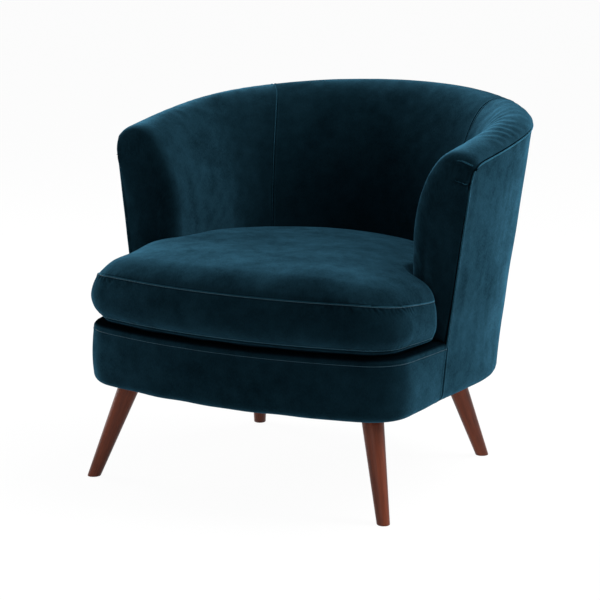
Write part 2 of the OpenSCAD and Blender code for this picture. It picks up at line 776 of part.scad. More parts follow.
// Each clip lies on the seat ring and curls over the end bar of a spring
clip_length = 18;
module clip() {
    hook_in = wire_d / 2 + rest_gap;
    hook_out = hook_in + 1.2;
    rotate([90, 0, 90]) translate([0, 0, -clip_length / 2]) linear_extrude(clip_length) {
        difference() {
            circle(r = hook_out);
            circle(r = hook_in);
            translate([0, -hook_out]) square([hook_out, 2 * hook_out]);
        }
        translate([0, -hook_out]) square([14, 1.2]);
    }
}
module spring_clips() {
    color(steel) for (x = spring_places) {
        translate([x, front_end_y(x), wire_z]) rotate([0, 0, 180]) mirror([0, 1, 0]) clip();
        translate([x, spring_end_y(x), wire_z]) mirror([0, 1, 0]) clip();
    }
}
tie_d = 3;
module tie_wires() {
    reach = spring_places[spring_count - 1] + spring_width / 2 - 4;
    color(steel) for (y = [-0.32 * front_depth, 0.16 * back_depth])
        translate([-reach, y + widest_y, wire_z - wire_d / 2 - rest_gap - tie_d / 2])
            rotate([0, 90, 0]) cylinder(h = 2 * reach, d = tie_d, $fn = 16);
}

// Legs

leg_places = [
    [-1, half_width - front_foot_in, front_foot_back - front_depth, -front_leg_turn],
    [1, half_width - front_foot_in, front_foot_back - front_depth, -front_leg_turn],
    [-1, half_width - back_foot_in, back_depth - back_foot_forward, back_leg_turn],
    [1, half_width - back_foot_in, back_depth - back_foot_forward, back_leg_turn]
];
leg_run = ring_bottom / cos(leg_splay);
// Turn of a leg about its own axis, which keeps the edges of its round faces off the level cuts
leg_roll = 37;
module on_leg(place) {
    both_sides(place[0]) translate([place[1], place[2] + widest_y, 0])
        rotate([0, leg_splay, place[3] + 180]) rotate([0, 0, leg_roll]) children();
}
module each_leg() {
    for (place = leg_places) on_leg(place) children();
}
module leg_cone(extra = 0) {
    over = 14;
    growth = (leg_top_d - leg_foot_d) / 2 / leg_run;
    translate([0, 0, -over]) cylinder(
        h = leg_run + 2 * over,
        r1 = leg_foot_d / 2 - growth * over + extra,
        r2 = leg_top_d / 2 + growth * over + extra
    );
}
bolt_in_leg = 42;
bolt_above = 34;
insert_length = 26;
insert_wall = 2.2;
thread_gap = 0.05;
module insert_bore() {
    translate([0, 0, leg_run - 20]) cylinder(h = 80, r = bolt_d / 2 + thread_gap + insert_wall);
}
module leg(place) {
    color(walnut) difference() {
        on_leg(place) leg_cone();
        translate([-500, -500, -50]) cube([1000, 1000, 50]);
        translate([-500, -500, ring_bottom]) cube([1000, 1000, 50]);
        on_leg(place) translate([0, 0, leg_run - bolt_in_leg]) cylinder(h = 100, r = bolt_d / 2 + thread_gap);
    }
}
module leg_front_left() { leg(leg_places[0]); }
module leg_front_right() { leg(leg_places[1]); }
module leg_back_left() { leg(leg_places[2]); }
module leg_back_right() { leg(leg_places[3]); }

block_size = 76;
module leg_block(place) {
    color(plywood) difference() {
        both_sides(place[0])
            translate([
                place[1] - tan(leg_splay) * ring_top * cos(place[3]),
                place[2] + widest_y - tan(leg_splay) * ring_top * sin(place[3]),
                ring_top
            ])
                rotate([0, 0, place[3]]) translate([-block_size / 2 - 10, -block_size / 2, 0])
                    cube([block_size, block_size, seat_ring_bottom - ring_top]);
        on_leg(place) insert_bore();
    }
}
module leg_block_front_left() { leg_block(leg_places[0]); }
module leg_block_front_right() { leg_block(leg_places[1]); }
module leg_block_back_left() { leg_block(leg_places[2]); }
module leg_block_back_right() { leg_block(leg_places[3]); }

module hanger_bolts() {
    color(steel) each_leg()
        translate([0, 0, leg_run - bolt_in_leg]) cylinder(h = bolt_in_leg + bolt_above, d = bolt_d);
}
module threaded_inserts() {
    color(steel) each_leg() translate([0, 0, leg_run + 10]) difference() {
        cylinder(h = insert_length, r = bolt_d / 2 + thread_gap + insert_wall);
        translate([0, 0, -1]) cylinder(h = insert_length + 2, r = bolt_d / 2 + thread_gap);
    }
}

// Seat cushion: its outline follows the shell, turns round the arm fronts into two ears, and runs
// along the front. An outline point is [point, outward normal, swell share, gap share]

side_out = -cushion_inset;
side_in = -wall_depth - arm_gap;
arm_corner = front_side_centre
    + arm_front[1] * sqrt(pow(front_side_radius - wall_depth + arm_round, 2) - pow(arm_round, 2))
    - forward * arm_round;
ear_centre = front_side_centre
    + arm_front[1] * sqrt(pow(front_side_radius + side_out - ear_round, 2) - pow(arm_gap + ear_round, 2))
    + forward * (arm_gap + ear_round);
arm_corner_angle = atan2(arm_corner.y, arm_corner.x - front_side_centre.x);
ear_angle = atan2(ear_centre.y, ear_centre.x - front_side_centre.x);

function arc_points(centre, radius, angles, swell, sign = 1) =
    [for (a = angles) [centre + radius * unit(a), sign * unit(a), swell]];
function rear_share(k, count) = arm_gap - rear_gap + (rear_gap - arm_gap) * k / count;
cushion_half = concat(
    [for (a = steps(90, back_corner_angle, 5))
        [back_end_centre + (back_radius - wall_depth - rear_gap) * unit(a), unit(a), 0]],
    [for (k = [1:4]) let (a = back_corner_angle + (back_side_angle - back_corner_angle) * k / 4)
        [back_corner + (back_corner_radius + side_in + rear_share(k, 4)) * unit(a), unit(a), 0.05 * k]],
    arc_points(back_side_centre, back_side_radius + side_in, [0], 0.2),
    arc_points(front_side_centre, front_side_radius + side_in, [arm_corner_angle], 0.2),
    arc_points(arm_corner, arm_round + arm_gap,
        steps(180 + arm_corner_angle, 270 + arm_angle, 4), 0.05, -1),
    [for (k = [0:4]) let (a = 90 + arm_angle + (ear_angle - 90 - arm_angle) * k / 4)
        [ear_centre + ear_round * unit(a), unit(a), 0.05 + 0.45 * k / 4]],
    arc_points(front_side_centre, front_side_radius + side_out, [-front_side_angle], 1),
    arc_points([front_corner.x, -front_corner.y], front_corner_radius + side_out,
        steps(-front_side_angle, -front_corner_angle, 6), 1),
    arc_points(front_end_centre, front_radius + side_out, steps(-front_corner_angle, -90, 4), 1)
);
half_count = len(cushion_half);
cushion_outline = concat(
    [[[0, back_depth - wall_depth - rear_gap], [0, 1], 0]],
    cushion_half,
    [for (i = [half_count - 2:-1:0]) let (p = cushion_half[i]) [[-p[0].x, p[0].y], [-p[1].x, p[1].y], p[2]]]
);

// Top seam: it droops towards the ends of the ears
ear_line = -arm_reach;
droop_line = -front_depth;
function limited(t) = max(0, min(1, t));
function top_seam_z(p) = cushion_seam - ear_droop
    * limited((abs(p[0].x) + side_in + 3) / 70 - (half_width + 2 * side_in) / 70)
    * limited((p[0].y - droop_line) / (ear_line - droop_line));

function placed(p, off, z) = let (q = p[0] + off * p[1]) [q.x, q.y + widest_y, z];
// A ring scaled about the middle of the front half, for the crown and the bottom
crown_middle = [0, -150];
function shrunk(p, off, share, z) =
    let (q = p[0] + off * p[1]) [
        crown_middle.x + (q.x - crown_middle.x) * share,
        crown_middle.y + (q.y - crown_middle.y) * share + widest_y,
        z
    ];
crown_shares = [1, 0.94, 0.82, 0.62, 0.35];
function crown_z(p, share) =
    let (seam = top_seam_z(p)) seam + (cushion_crown - seam) * pow(1 - pow(share, 5), 0.5);
function crown_ring(share, drop, off = 0) =
    [for (p = cushion_outline) shrunk(p, off, share, crown_z(p, share) - drop)];

boxing_rows = [[0, -0.5], [0.18, 0.6], [0.4, 1], [0.68, 0.8], [1, 0]];
function boxing_ring(row, e) = [for (p = cushion_outline)
    placed(p, p[2] * cushion_swell * row[1] - e,
        cushion_low_seam + (top_seam_z(p) - cushion_low_seam) * row[0])];
function ring_columns(rings) = [for (i = [0:len(rings[0]) - 1]) [for (ring = rings) ring[i]]];

cushion_bottom = deck_top + rest_gap;
panel_t = 1.2;
core_inset = 16;
core_bottom = cushion_bottom + panel_t + 6;
core_top = cushion_low_seam + 66;

module slab_shape(inset) {
    polygon([for (p = cushion_outline) let (q = placed(p, -inset, 0)) [q.x, q.y]]);
}
module cushion_core() {
    color(foam_yellow) plate(core_bottom, core_top) slab_shape(core_inset);
}
module cushion_bottom_pad() {
    color("white") plate(cushion_bottom + panel_t, core_bottom) slab_shape(core_inset + 14);
}
module cushion_top_pad() {
    drop = panel_t + rest_gap;
    base_ring = [for (p = cushion_outline) shrunk(p, 0, crown_shares[1], core_top + lay_gap)];
    rings = concat([base_ring], [for (k = [1:4]) crown_ring(crown_shares[k], drop)]);
    middle = [crown_middle.x, crown_middle.y + widest_y];
    color("white") stacked_rings(
        rings,
        [middle.x, middle.y, core_top + lay_gap],
        [middle.x, middle.y, cushion_crown - drop]
    );
}
module cushion_side_pad() {
    e = panel_t + lay_gap;
    outer = [for (k = [0:2]) boxing_ring(boxing_rows[k + 1], e)];
    inner = [for (ring = outer) [for (i = [0:len(ring) - 1])
        let (q = placed(cushion_outline[i], lay_gap - core_inset, ring[i].z)) q]];
    color("white") sheet(ring_columns(inner), ring_columns(outer), true);
}
module cushion_top_panel() {
    edge = -panel_t - 0.05;
    function rings(drop) = [for (share = crown_shares) crown_ring(share, drop, share == 1 ? edge : 0)];
    function middle(drop) = [crown_middle.x, crown_middle.y + widest_y, cushion_crown - drop];
    color(velvet) domed_skin(rings(0), rings(panel_t), middle(0), middle(panel_t));
}
module cushion_boxing() {
    function faces_at(e) = ring_columns([for (row = boxing_rows) boxing_ring(row, e)]);
    color(velvet) sheet(faces_at(panel_t), faces_at(0), true);
}
module cushion_bottom_panel() {
    turn_in = [[0, 1], [0.35, 0.4], [1, 0]];
    function rings(rise) = [for (row = turn_in) [for (p = cushion_outline)
        let (off = -0.5 * p[2] * cushion_swell - (core_inset + 4) * row[0])
        placed(p, off, cushion_bottom + (cushion_low_seam - cushion_bottom - panel_t) * row[1] + rise)]];
    function middle(rise) = [crown_middle.x, crown_middle.y + widest_y, cushion_bottom + rise];
    color(velvet) domed_skin(rings(panel_t), rings(0), middle(panel_t), middle(0));
}

// Zip along the rear of the boxing, on a true arc about the centre of the back
zip_radius = back_radius - wall_depth - rear_gap + 0.1;
zip_z = (cushion_seam + cushion_low_seam) / 2;
tape_t = 0.6;
tape_width = 28;
chain_t = 1.8;
chain_width = 5;
slide_gap = 0.25;
module rear_arc(from, to) {
    translate([back_end_centre.x, back_end_centre.y + widest_y, zip_z]) rotate([0, 0, from])
        rotate_extrude(angle = to - from, $fn = 96) children();
}
module cushion_zip() {
    color(black_cloth) rear_arc(90 - zip_half_angle, 90 + zip_half_angle) {
        translate([zip_radius, -tape_width / 2]) square([tape_t, tape_width]);
        translate([zip_radius, -chain_width / 2]) square([tape_t + chain_t, chain_width]);
    }
}
slider_angle = 2;
module zip_slider() {
    inner = zip_radius + tape_t + slide_gap;
    plate_in = zip_radius + tape_t + chain_t + slide_gap;
    half = chain_width / 2 + slide_gap;
    wall = 1.6;
    color(steel) rear_arc(91 - zip_half_angle, 91 - zip_half_angle + slider_angle) {
        translate([plate_in, -half - wall]) square([1.2, 2 * (half + wall)]);
        translate([inner, half]) square([plate_in + 1.2 - inner, wall]);
        translate([inner, -half - wall]) square([plate_in + 1.2 - inner, wall]);
        translate([plate_in, -half - wall - 14]) square([1, 16]);
    }
}

bottom_ring();
seat_ring();
edge_strip();
front_rail();
spacer_blocks();
leg_block_front_left();
leg_block_front_right();
leg_block_back_left();
leg_block_back_right();
leg_front_left();
leg_front_right();
leg_back_left();
leg_back_right();
hanger_bolts();
threaded_inserts();
arm_post_left();
arm_post_right();
ribs_left();
ribs_right();
rib_back();
top_rail();
outer_board_left();
outer_board_back();
outer_board_right();
outer_wadding();
back_webbing();
inside_foam();
arm_pad_left();
arm_pad_right();
outside_cover_left();
outside_cover_back();
outside_cover_right();
inside_cover_left();
inside_cover_back();
inside_cover_right();
border_foam();
border_cover();
for (k = [1:spring_count]) seat_spring(k);
spring_clips();
tie_wires();
deck_felt();
deck_foam();
deck_cover();
dust_cover();
cushion_core();
cushion_top_pad();
cushion_side_pad();
cushion_bottom_pad();
cushion_top_panel();
cushion_boxing();
cushion_bottom_panel();
cushion_zip();
zip_slider();
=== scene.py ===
"""Dresses the velvet tub chair: shell covers, seams, seat cushion, legs, lining and inner materials."""

import json
import logging
import math
from collections.abc import Iterator, Sequence
from contextlib import contextmanager
from dataclasses import dataclass, field, fields, replace
from enum import Enum
from typing import Any

import bmesh
import bpy
import numpy as np
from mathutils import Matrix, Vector

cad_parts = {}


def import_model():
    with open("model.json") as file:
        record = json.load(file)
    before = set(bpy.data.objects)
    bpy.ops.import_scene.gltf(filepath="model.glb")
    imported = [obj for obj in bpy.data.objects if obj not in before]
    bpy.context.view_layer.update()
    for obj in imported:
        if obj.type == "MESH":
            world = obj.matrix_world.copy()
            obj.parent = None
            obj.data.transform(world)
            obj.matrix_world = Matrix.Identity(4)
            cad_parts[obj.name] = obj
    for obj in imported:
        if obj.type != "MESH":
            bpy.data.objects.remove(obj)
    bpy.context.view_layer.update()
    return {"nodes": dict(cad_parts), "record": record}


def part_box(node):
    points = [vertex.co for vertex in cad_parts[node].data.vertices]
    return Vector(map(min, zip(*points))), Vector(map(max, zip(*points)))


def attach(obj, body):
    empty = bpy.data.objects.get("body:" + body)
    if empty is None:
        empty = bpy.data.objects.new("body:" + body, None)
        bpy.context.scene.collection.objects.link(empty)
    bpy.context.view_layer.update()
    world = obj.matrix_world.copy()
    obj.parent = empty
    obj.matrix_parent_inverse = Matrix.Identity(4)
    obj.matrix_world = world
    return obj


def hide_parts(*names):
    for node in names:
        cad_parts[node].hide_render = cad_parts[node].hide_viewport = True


LOG = logging.getLogger("velvet_chair")
# Metres in a mm, and the distance in metres within which points are merged.
MM = 0.001
MERGE = 0.00002
# Mirrors places in plan from the right side to the left one.
FLIP = np.array([-1.0, 1.0])
# A full turn in radians, and about one radian in degrees.
TURN = 2 * math.pi
RADIAN = 57.3
Array = np.ndarray
Colour = tuple[float, float, float]
Object = bpy.types.Object
Mesh = bpy.types.Mesh
Material = bpy.types.Material
Node = bpy.types.Node
Socket = bpy.types.NodeSocket
Inputs = dict[Any, Any] | None
frame: dict[str, Any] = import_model()


# Numbers and curves


def unit(degrees: Array | float) -> Array:
    """Unit vectors in plan at these angles."""
    turn = np.radians(degrees)
    return np.stack([np.cos(turn), np.sin(turn)], axis=-1)


def bearing(across: float, ahead: float) -> float:
    """The angle of a direction in plan, in degrees."""
    return math.degrees(math.atan2(ahead, across))


def bell(distance: Array, centre: float, width: float) -> Array:
    """A smooth bump of height 1 at its centre, fallen to about a third at its width."""
    return np.exp(-(((distance - centre) / width) ** 2))


def ease(value: Array, low: float | Array, high: float | Array) -> Array:
    """A smooth step from 0 at low to 1 at high, where high may be the lesser."""
    share = np.clip((value - low) / (high - low), 0.0, 1.0)
    return share * share * (3.0 - 2.0 * share)


def blend(low: Any, high: Any, share: Any) -> Any:
    """The value at a share of the way from low to high."""
    return low + (high - low) * share


def wander(across: Array, down: Array | float, reach: float, seed: int) -> Array:
    """Smooth unevenness made of a few crossed waves.

    Args:
        across: Distance along the cloth.
        down: Distance down the cloth.
        reach: The usual length of a wave.
        seed: Fixes the waves.

    Returns:
        Values of about -1 to 1.
    """
    chance = np.random.default_rng(seed)
    total = np.zeros(np.broadcast(across, down).shape)
    for _ in range(9):
        heading = chance.uniform(0, TURN)
        rate = TURN / reach * chance.uniform(0.6, 1.6)
        place = (across * math.cos(heading) + down * math.sin(heading)) * rate
        total = total + np.sin(place + chance.uniform(0, TURN))
    return total / 3.0


def spaced(start: float, end: float, pitch: float, radius: float) -> Array:
    """Angles in degrees along an arc at about a given pitch in mm, without the first."""
    count = max(1, round(abs(math.radians(end - start)) * radius / pitch))
    return start + (end - start) * np.arange(1, count + 1) / count


def run_of(points: Array) -> Array:
    """Distances of a path's points from its first one, measured along it."""
    return np.concatenate([[0.0], np.cumsum(np.linalg.norm(np.diff(points, axis=0), axis=1))])


def read_at(at: Array, run: Array, rows: Array) -> Array:
    """Rows of numbers, which lie at the places of run, read at other places."""
    return np.column_stack([np.interp(at, run, column) for column in rows.T])


def apart(path: Array, least: float) -> Array:
    """The numbers of the points that lie further than this from the one before, and of the first."""
    step = np.linalg.norm(np.diff(path, axis=0), axis=1)
    return np.concatenate([[0], np.flatnonzero(step > least) + 1])


def straightened(vectors: Array) -> Array:
    """The vectors with length 1."""
    return vectors / np.linalg.norm(vectors, axis=1, keepdims=True)


def nearest(points: Array, among: Array) -> Array:
    """The number of the nearest of some points to each point."""
    return np.argmin(np.linalg.norm(points[:, None] - among[None], axis=2), axis=1)


def resampled(profile: Array, first: Sequence[float], count: int) -> tuple[Array, Array]:
    """A profile read at set distances from its start, and then evenly to its end.

    Args:
        profile: Its points, two or more numbers each; the first two give the distance.
        first: The set distances.
        count: How many even steps follow.

    Returns:
        The new points, and their distances from the start.
    """
    run = run_of(profile[:, :2])
    wanted = np.concatenate([first, blend(first[-1], run[-1], np.arange(1, count + 1) / count)])
    return read_at(wanted, run, profile), wanted


# Meshes


class Side(Enum):
    """Which side of a grid is its outer one: where its own normals point, or the other."""

    FRONT = 1.0
    BACK = -1.0


@dataclass
class Quilt:
    """A grid of points on a cover, with distances along and down the cloth in mm, and how much painted shade
    it carries.
    """

    points: Array
    along: Array
    down: Array
    closed: bool = False
    shut: Array | None = None
    side: Side = Side.FRONT

    def normals(self) -> Array:
        """Unit normals of the grid, on its outer side."""
        if self.closed:
            across = np.roll(self.points, -1, axis=0) - np.roll(self.points, 1, axis=0)
        else:
            across = np.gradient(self.points, axis=0)
        normal = np.cross(across, np.gradient(self.points, axis=1))
        size = np.linalg.norm(normal, axis=2, keepdims=True)
        return self.side.value * normal / np.maximum(size, 1e-9)

    def faced(self, column: int, row: int, way: Sequence[float]) -> "Quilt":
        """The grid with its outer side set, the one that looks this way at one of its places."""
        own = replace(self, side=Side.FRONT).normals()[column, row]
        return replace(self, side=Side.FRONT if own @ np.asarray(way) > 0 else Side.BACK)

    def raised(self, relief: Array) -> "Quilt":
        """The grid moved out along its normals by these heights, in mm."""
        return replace(self, points=self.points + relief[..., None] * self.normals())

    def reach(self) -> tuple[float, float]:
        """Longest row and longest column, in metres."""
        steps = (np.linalg.norm(np.diff(self.points, axis=axis), axis=2).sum(axis=axis) for axis in (0, 1))
        row, column = (float(step.max()) for step in steps)
        return row * MM, column * MM

    def part(self, first: int, last: int) -> "Quilt":
        """The columns from first to last, both included."""
        keep = slice(first, last + 1)
        points, along, down = self.points[keep], self.along[keep], self.down[keep]
        shut = None if self.shut is None else self.shut[keep]
        return replace(self, points=points, along=along, down=down, shut=shut)

    def faces(self) -> tuple[Array, Array]:
        """Corner numbers and cloth places of the grid's faces.

        Returns:
            Vertex numbers and (along, down) places in metres, four for each face.
        """
        columns, rows = self.points.shape[:2]
        number = np.arange(columns * rows).reshape(columns, rows)
        place = np.stack([self.along, self.down], axis=-1) * MM
        if self.closed:
            number = np.vstack([number, number[:1]])
            joined = place[:1].copy()
            joined[..., 0] += place[-1:, :, 0] + (place[1:2, :, 0] - place[:1, :, 0]) - joined[..., 0]
            place = np.concatenate([place, joined])

        def corners(grid: Array) -> Array:
            """The four corners of each cell."""
            cell = [grid[:-1, :-1], grid[:-1, 1:], grid[1:, 1:], grid[1:, :-1]]
            order = cell[::-1] if self.side is Side.FRONT else cell
            return np.stack(order, axis=2).reshape((-1, 4) + grid.shape[2:])

        return corners(number), corners(place)


def in_scene(name: str, data: bpy.types.ID) -> Object:
    """A new object of this data, in the scene."""
    made = bpy.data.objects.new(name, data)
    bpy.context.scene.collection.objects.link(made)
    return made


@contextmanager
def opened(mesh: Mesh, into: Mesh | None = None) -> Iterator[bmesh.types.BMesh]:
    """Opens a mesh for work and writes the result back, or into another mesh, when the with block ends."""
    work = bmesh.new()
    work.from_mesh(mesh)
    yield work
    work.to_mesh(into or mesh)
    work.free()


def mesh_object(name: str, points: Array, faces: Sequence, places: Array | None = None) -> Object:
    """A smooth mesh object whose points are in mm in the row frame.

    Args:
        name: Name of the object.
        points: Its points.
        faces: Vertex numbers of its faces.
        places: Cloth places of the faces' corners, in the order of the faces.

    Returns:
        The new object, in the scene.
    """
    mesh = bpy.data.meshes.new(name)
    rows = (np.asarray(points).reshape(-1, 3) * MM).tolist()
    mesh.from_pydata(rows, [], [list(map(int, face)) for face in faces])
    if places is not None:
        cloth = mesh.uv_layers.new(name="cloth")
        cloth.data.foreach_set("uv", np.asarray(places, dtype=np.float32).ravel())
    mesh.polygons.foreach_set("use_smooth", [True] * len(mesh.polygons))
    mesh.update()
    return in_scene(name, mesh)


def quilt_object(name: str, quilt: Quilt) -> Object:
    """A mesh object of one grid, with near doubles merged and the grid's painted shade kept as an attribute.
    """
    made = mesh_object(name, quilt.points, *quilt.faces())
    if quilt.shut is not None:
        shut = made.data.attributes.new("shut", "FLOAT", "POINT")
        shut.data.foreach_set("value", np.clip(quilt.shut, 0.0, 1.0).astype(np.float32).ravel())
    with opened(made.data) as work:
        bmesh.ops.remove_doubles(work, verts=work.verts, dist=MERGE)
    return made


def thicken(piece: Object, thickness: float) -> None:
    """Gives a cover its thickness in mm, on its inner side."""
    wall = piece.modifiers.new("cloth thickness", "SOLIDIFY")
    wall.thickness = thickness * MM
    wall.offset = -1.0


def round_edges(piece: Object, width: float) -> None:
    """Rounds a piece's sharp edges by a width in mm."""
    bevel = piece.modifiers.new("rounded edges", "BEVEL")
    bevel.width = width * MM
    bevel.segments = 2
    bevel.limit_method = "ANGLE"
    bevel.angle_limit = math.radians(35)


def register(piece: Object, body: str, slot: str, *nodes: str, finish: Material | None = None) -> Object:
    """Gives a piece its finish, puts it on its body and hides the solids that it stands for.

    Args:
        piece: The piece.
        body: The body that it rides on.
        slot: The material slot that its finish comes from; not used.
        nodes: The solids that it stands for.
        finish: Its material, where it has none yet.

    Returns:
        The same piece.
    """
    if finish is not None:
        piece.data.materials.append(finish)
    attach(piece, body)
    if nodes:
        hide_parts(*nodes)
    return piece


# Node trees


class Value:
    """A socket that carries a number, whose operators add Math nodes."""

    def __init__(self, nodes: "Nodes", socket: Socket) -> None:
        """Wraps an output socket of a node tree."""
        self.nodes = nodes
        self.socket = socket

    def maths(self, operation: str, *others: Any) -> "Value":
        """The result of a Math node with this value first."""
        return self.nodes.maths(operation, self, *others)

    def __add__(self, other: "Value | float") -> "Value":
        """The sum."""
        return self.maths("ADD", other)

    __radd__ = __add__

    def __sub__(self, other: "Value | float") -> "Value":
        """The difference."""
        return self.maths("SUBTRACT", other)

    def __rsub__(self, other: "Value | float") -> "Value":
        """The difference from a number."""
        return self.nodes.maths("SUBTRACT", other, self)

    def __mul__(self, other: "Value | float") -> "Value":
        """The product."""
        return self.maths("MULTIPLY", other)

    __rmul__ = __mul__

    def held(self) -> "Value":
        """The value kept between 0 and 1."""
        return self.maths("MAXIMUM", 0.0).maths("MINIMUM", 1.0)

    def swung(self, low: float, high: float, out_low: float = 0.0, out_high: float = 1.0) -> "Value":
        """The value moved from one range to another, and kept inside it."""
        inputs = {0: self, 1: low, 2: high, 3: out_low, 4: out_high}
        return self.nodes.value(0, "ShaderNodeMapRange", inputs, clamp=True)


class Nodes:
    """A node tree, built with short calls."""

    def __init__(self, tree: bpy.types.NodeTree) -> None:
        """Empties the tree and takes it."""
        self.tree = tree
        tree.nodes.clear()

    def node(self, kind: str, inputs: Inputs = None, **settings: Any) -> Node:
        """Adds one node.

        Args:
            kind: The node's type.
            inputs: Values or links of its sockets, by name or number. A node stands for its first output.
            settings: Its properties, which are set first.

        Returns:
            The node.
        """
        made = self.tree.nodes.new(kind)
        for key, value in settings.items():
            setattr(made, key, value)
        for key, value in (inputs or {}).items():
            socket = made.inputs[key]
            if isinstance(value, Value):
                value = value.socket
            elif isinstance(value, Node):
                value = value.outputs[0]
            if isinstance(value, Socket):
                self.tree.links.new(value, socket)
            else:
                socket.default_value = (*value, 1.0) if socket.type == "RGBA" else value
        return made

    def value(self, output: int | str, kind: str, inputs: Inputs = None, **settings: Any) -> Value:
        """Adds one node as node() does, and takes one of its outputs as a value."""
        return Value(self, self.node(kind, inputs, **settings).outputs[output])

    def maths(self, operation: str, *values: Any) -> Value:
        """The result of a Math node."""
        return self.value(0, "ShaderNodeMath", dict(enumerate(values)), operation=operation)

    def seen(self) -> Value:
        """1 for camera, glossy and transmission rays, and 0 for the others."""
        path = self.node("ShaderNodeLightPath")
        share = Value(self, path.outputs["Is Camera Ray"])
        for ray in ("Is Glossy Ray", "Is Transmission Ray"):
            share = share.maths("MAXIMUM", path.outputs[ray])
        return share


class Shader(Nodes):
    """A material's node tree."""

    def __init__(self, name: str) -> None:
        """Makes an empty material of that name."""
        self.material = bpy.data.materials.new(name)
        self.material.use_nodes = True
        super().__init__(self.material.node_tree)

    def places(self, scale: Sequence[float] | None = None, uv: bool = False) -> Socket:
        """Coordinates on the piece.

        Args:
            scale: Their scale by axis, where it isn't 1.
            uv: Whether they are the piece's own cloth places instead of Object coordinates.

        Returns:
            The coordinates.
        """
        if uv:
            source = self.node("ShaderNodeUVMap", uv_map="cloth").outputs["UV"]
        else:
            source = self.node("ShaderNodeTexCoord").outputs["Object"]
        if scale is None:
            return source
        return self.node("ShaderNodeMapping", {"Vector": source, "Scale": tuple(scale)}).outputs["Vector"]

    def noise(self, source: Socket, scale: float, detail: float = 2.0, rough: float = 0.5) -> Value:
        """Noise of about 0 to 1, with this many features for each metre and finer layers in them."""
        inputs = {"Vector": source, "Scale": scale, "Detail": detail, "Roughness": rough}
        return self.value("Fac", "ShaderNodeTexNoise", inputs)

    def bands(self, axis: str, scale: float, distortion: float) -> Value:
        """Waves of 0 to 1 along one axis of the piece."""
        inputs = {"Vector": self.places(), "Scale": scale, "Distortion": distortion}
        return self.value("Fac", "ShaderNodeTexWave", inputs, bands_direction=axis)

    def mixed(self, share: Value, first: Any, second: Any) -> Socket:
        """Two colours mixed, with this share of the second."""
        inputs = {0: share, 6: first, 7: second}
        return self.node("ShaderNodeMix", inputs, data_type="RGBA").outputs[2]

    def bumped(self, height: Value, strength: float, distance: float) -> Socket:
        """A normal that follows a height of 0 to 1, whose reach is in metres."""
        inputs = {"Strength": strength, "Distance": distance, "Height": height}
        return self.node("ShaderNodeBump", inputs).outputs["Normal"]

    def surface(self, colour: Any, rough: Any, normal: Socket, more: Inputs = None) -> Node:
        """A Principled surface, with its other sockets in more."""
        inputs = {"Base Color": colour, "Roughness": rough, "Normal": normal} | (more or {})
        return self.node("ShaderNodeBsdfPrincipled", inputs)

    def painted(
        self, tone: Value, colours: tuple[Colour, Colour], rough: Any, normal: Socket, more: Inputs = None
    ) -> Material:
        """The material, with a Principled surface between two colours as its output."""
        return self.closed(self.surface(self.mixed(tone, *colours), rough, normal, more))

    def closed(self, surface: Node) -> Material:
        """The material, with this surface as its output."""
        self.node("ShaderNodeOutputMaterial", {"Surface": surface})
        return self.material


# Finishes


@dataclass(frozen=True)
class Velvet:
    """Cut pile cloth: dark from the front, lighter at grazing angles, with a mottled nap."""

    name: str = "velvet"
    shade: Colour = (0.0009, 0.0040, 0.0062)
    light: Colour = (0.0032, 0.0125, 0.0185)
    # The near-black colour of painted shade in seams, under folds and under the cushion.
    deepest: Colour = (0.0002, 0.0006, 0.0009)
    tint: Colour = (0.17, 0.585, 0.90)
    dull: float = 0.07
    bright: float = 0.47
    streaks: float = 0.1

    def build(self) -> Material:
        """Makes the material: a flat-lying and a raised nap in soft patches, and painted shade, near black,
        wherever the piece's shut attribute is set.
        """
        shader = Shader(self.name)
        solid = shader.places()
        broad = shader.noise(solid, 11.0, 3.0, 0.6).swung(0.3, 0.7)
        patches = shader.noise(solid, 42.0, 4.0, 0.65).swung(0.3, 0.7)
        nap = shader.noise(shader.places((1.0, 0.5, 1.0), uv=True), 430.0, 3.0, 0.7).swung(0.25, 0.75)
        runs = shader.noise(shader.places((55.0, 3.0, 1.0), uv=True), 1.0, 3.0, 0.6).swung(0.3, 0.7)
        mask = (broad * 0.28 + patches * 0.26 + nap * 0.42 + runs * (0.4 * self.streaks) - 0.06).held()
        pile = shader.noise(solid, 1300.0, 1.0, 0.5)
        normal = shader.bumped(pile * 0.4 + nap * 0.4 + patches * 0.5, 0.3, 0.0008)
        colour = shader.mixed(mask, self.shade, self.light)
        plain = {"Specular IOR Level": 0.0, "Sheen Tint": self.tint}
        lying, raised = (
            shader.surface(colour, 0.85, normal, plain | {"Sheen Weight": weight, "Sheen Roughness": rough})
            for weight, rough in ((self.dull, 0.38), (self.bright, 0.47))
        )
        both = shader.node("ShaderNodeMixShader", {0: mask, 1: lying, 2: raised})
        # Painted shade: where the shut attribute is set, the velvet turns to a near-black copy without
        # sheen.
        shut = shader.value("Fac", "ShaderNodeAttribute", attribute_name="shut")
        deep = shader.surface(shader.mixed(mask, self.deepest, self.shade), 0.9, normal, plain)
        return shader.closed(shader.node("ShaderNodeMixShader", {0: shut, 1: both, 2: deep}))


@dataclass(frozen=True)
class Thread:
    """Sewing thread, twisted from two strands."""

    name: str = "thread"
    colour: Colour = (0.045, 0.13, 0.18)
    sheen: Colour = (0.5, 0.75, 0.9)
    hollow: float = 0.6

    def build(self) -> Material:
        """Makes the material."""
        shader = Shader(self.name)
        twist = shader.noise(shader.places(), 2600.0, 1.0).swung(0.35, 0.65)
        inputs = {
            "Base Color": shader.mixed(twist, tuple(c * self.hollow for c in self.colour), self.colour),
            "Roughness": 0.55,
            "Sheen Weight": 0.3,
            "Sheen Tint": self.sheen,
        }
        return shader.closed(shader.node("ShaderNodeBsdfPrincipled", inputs))


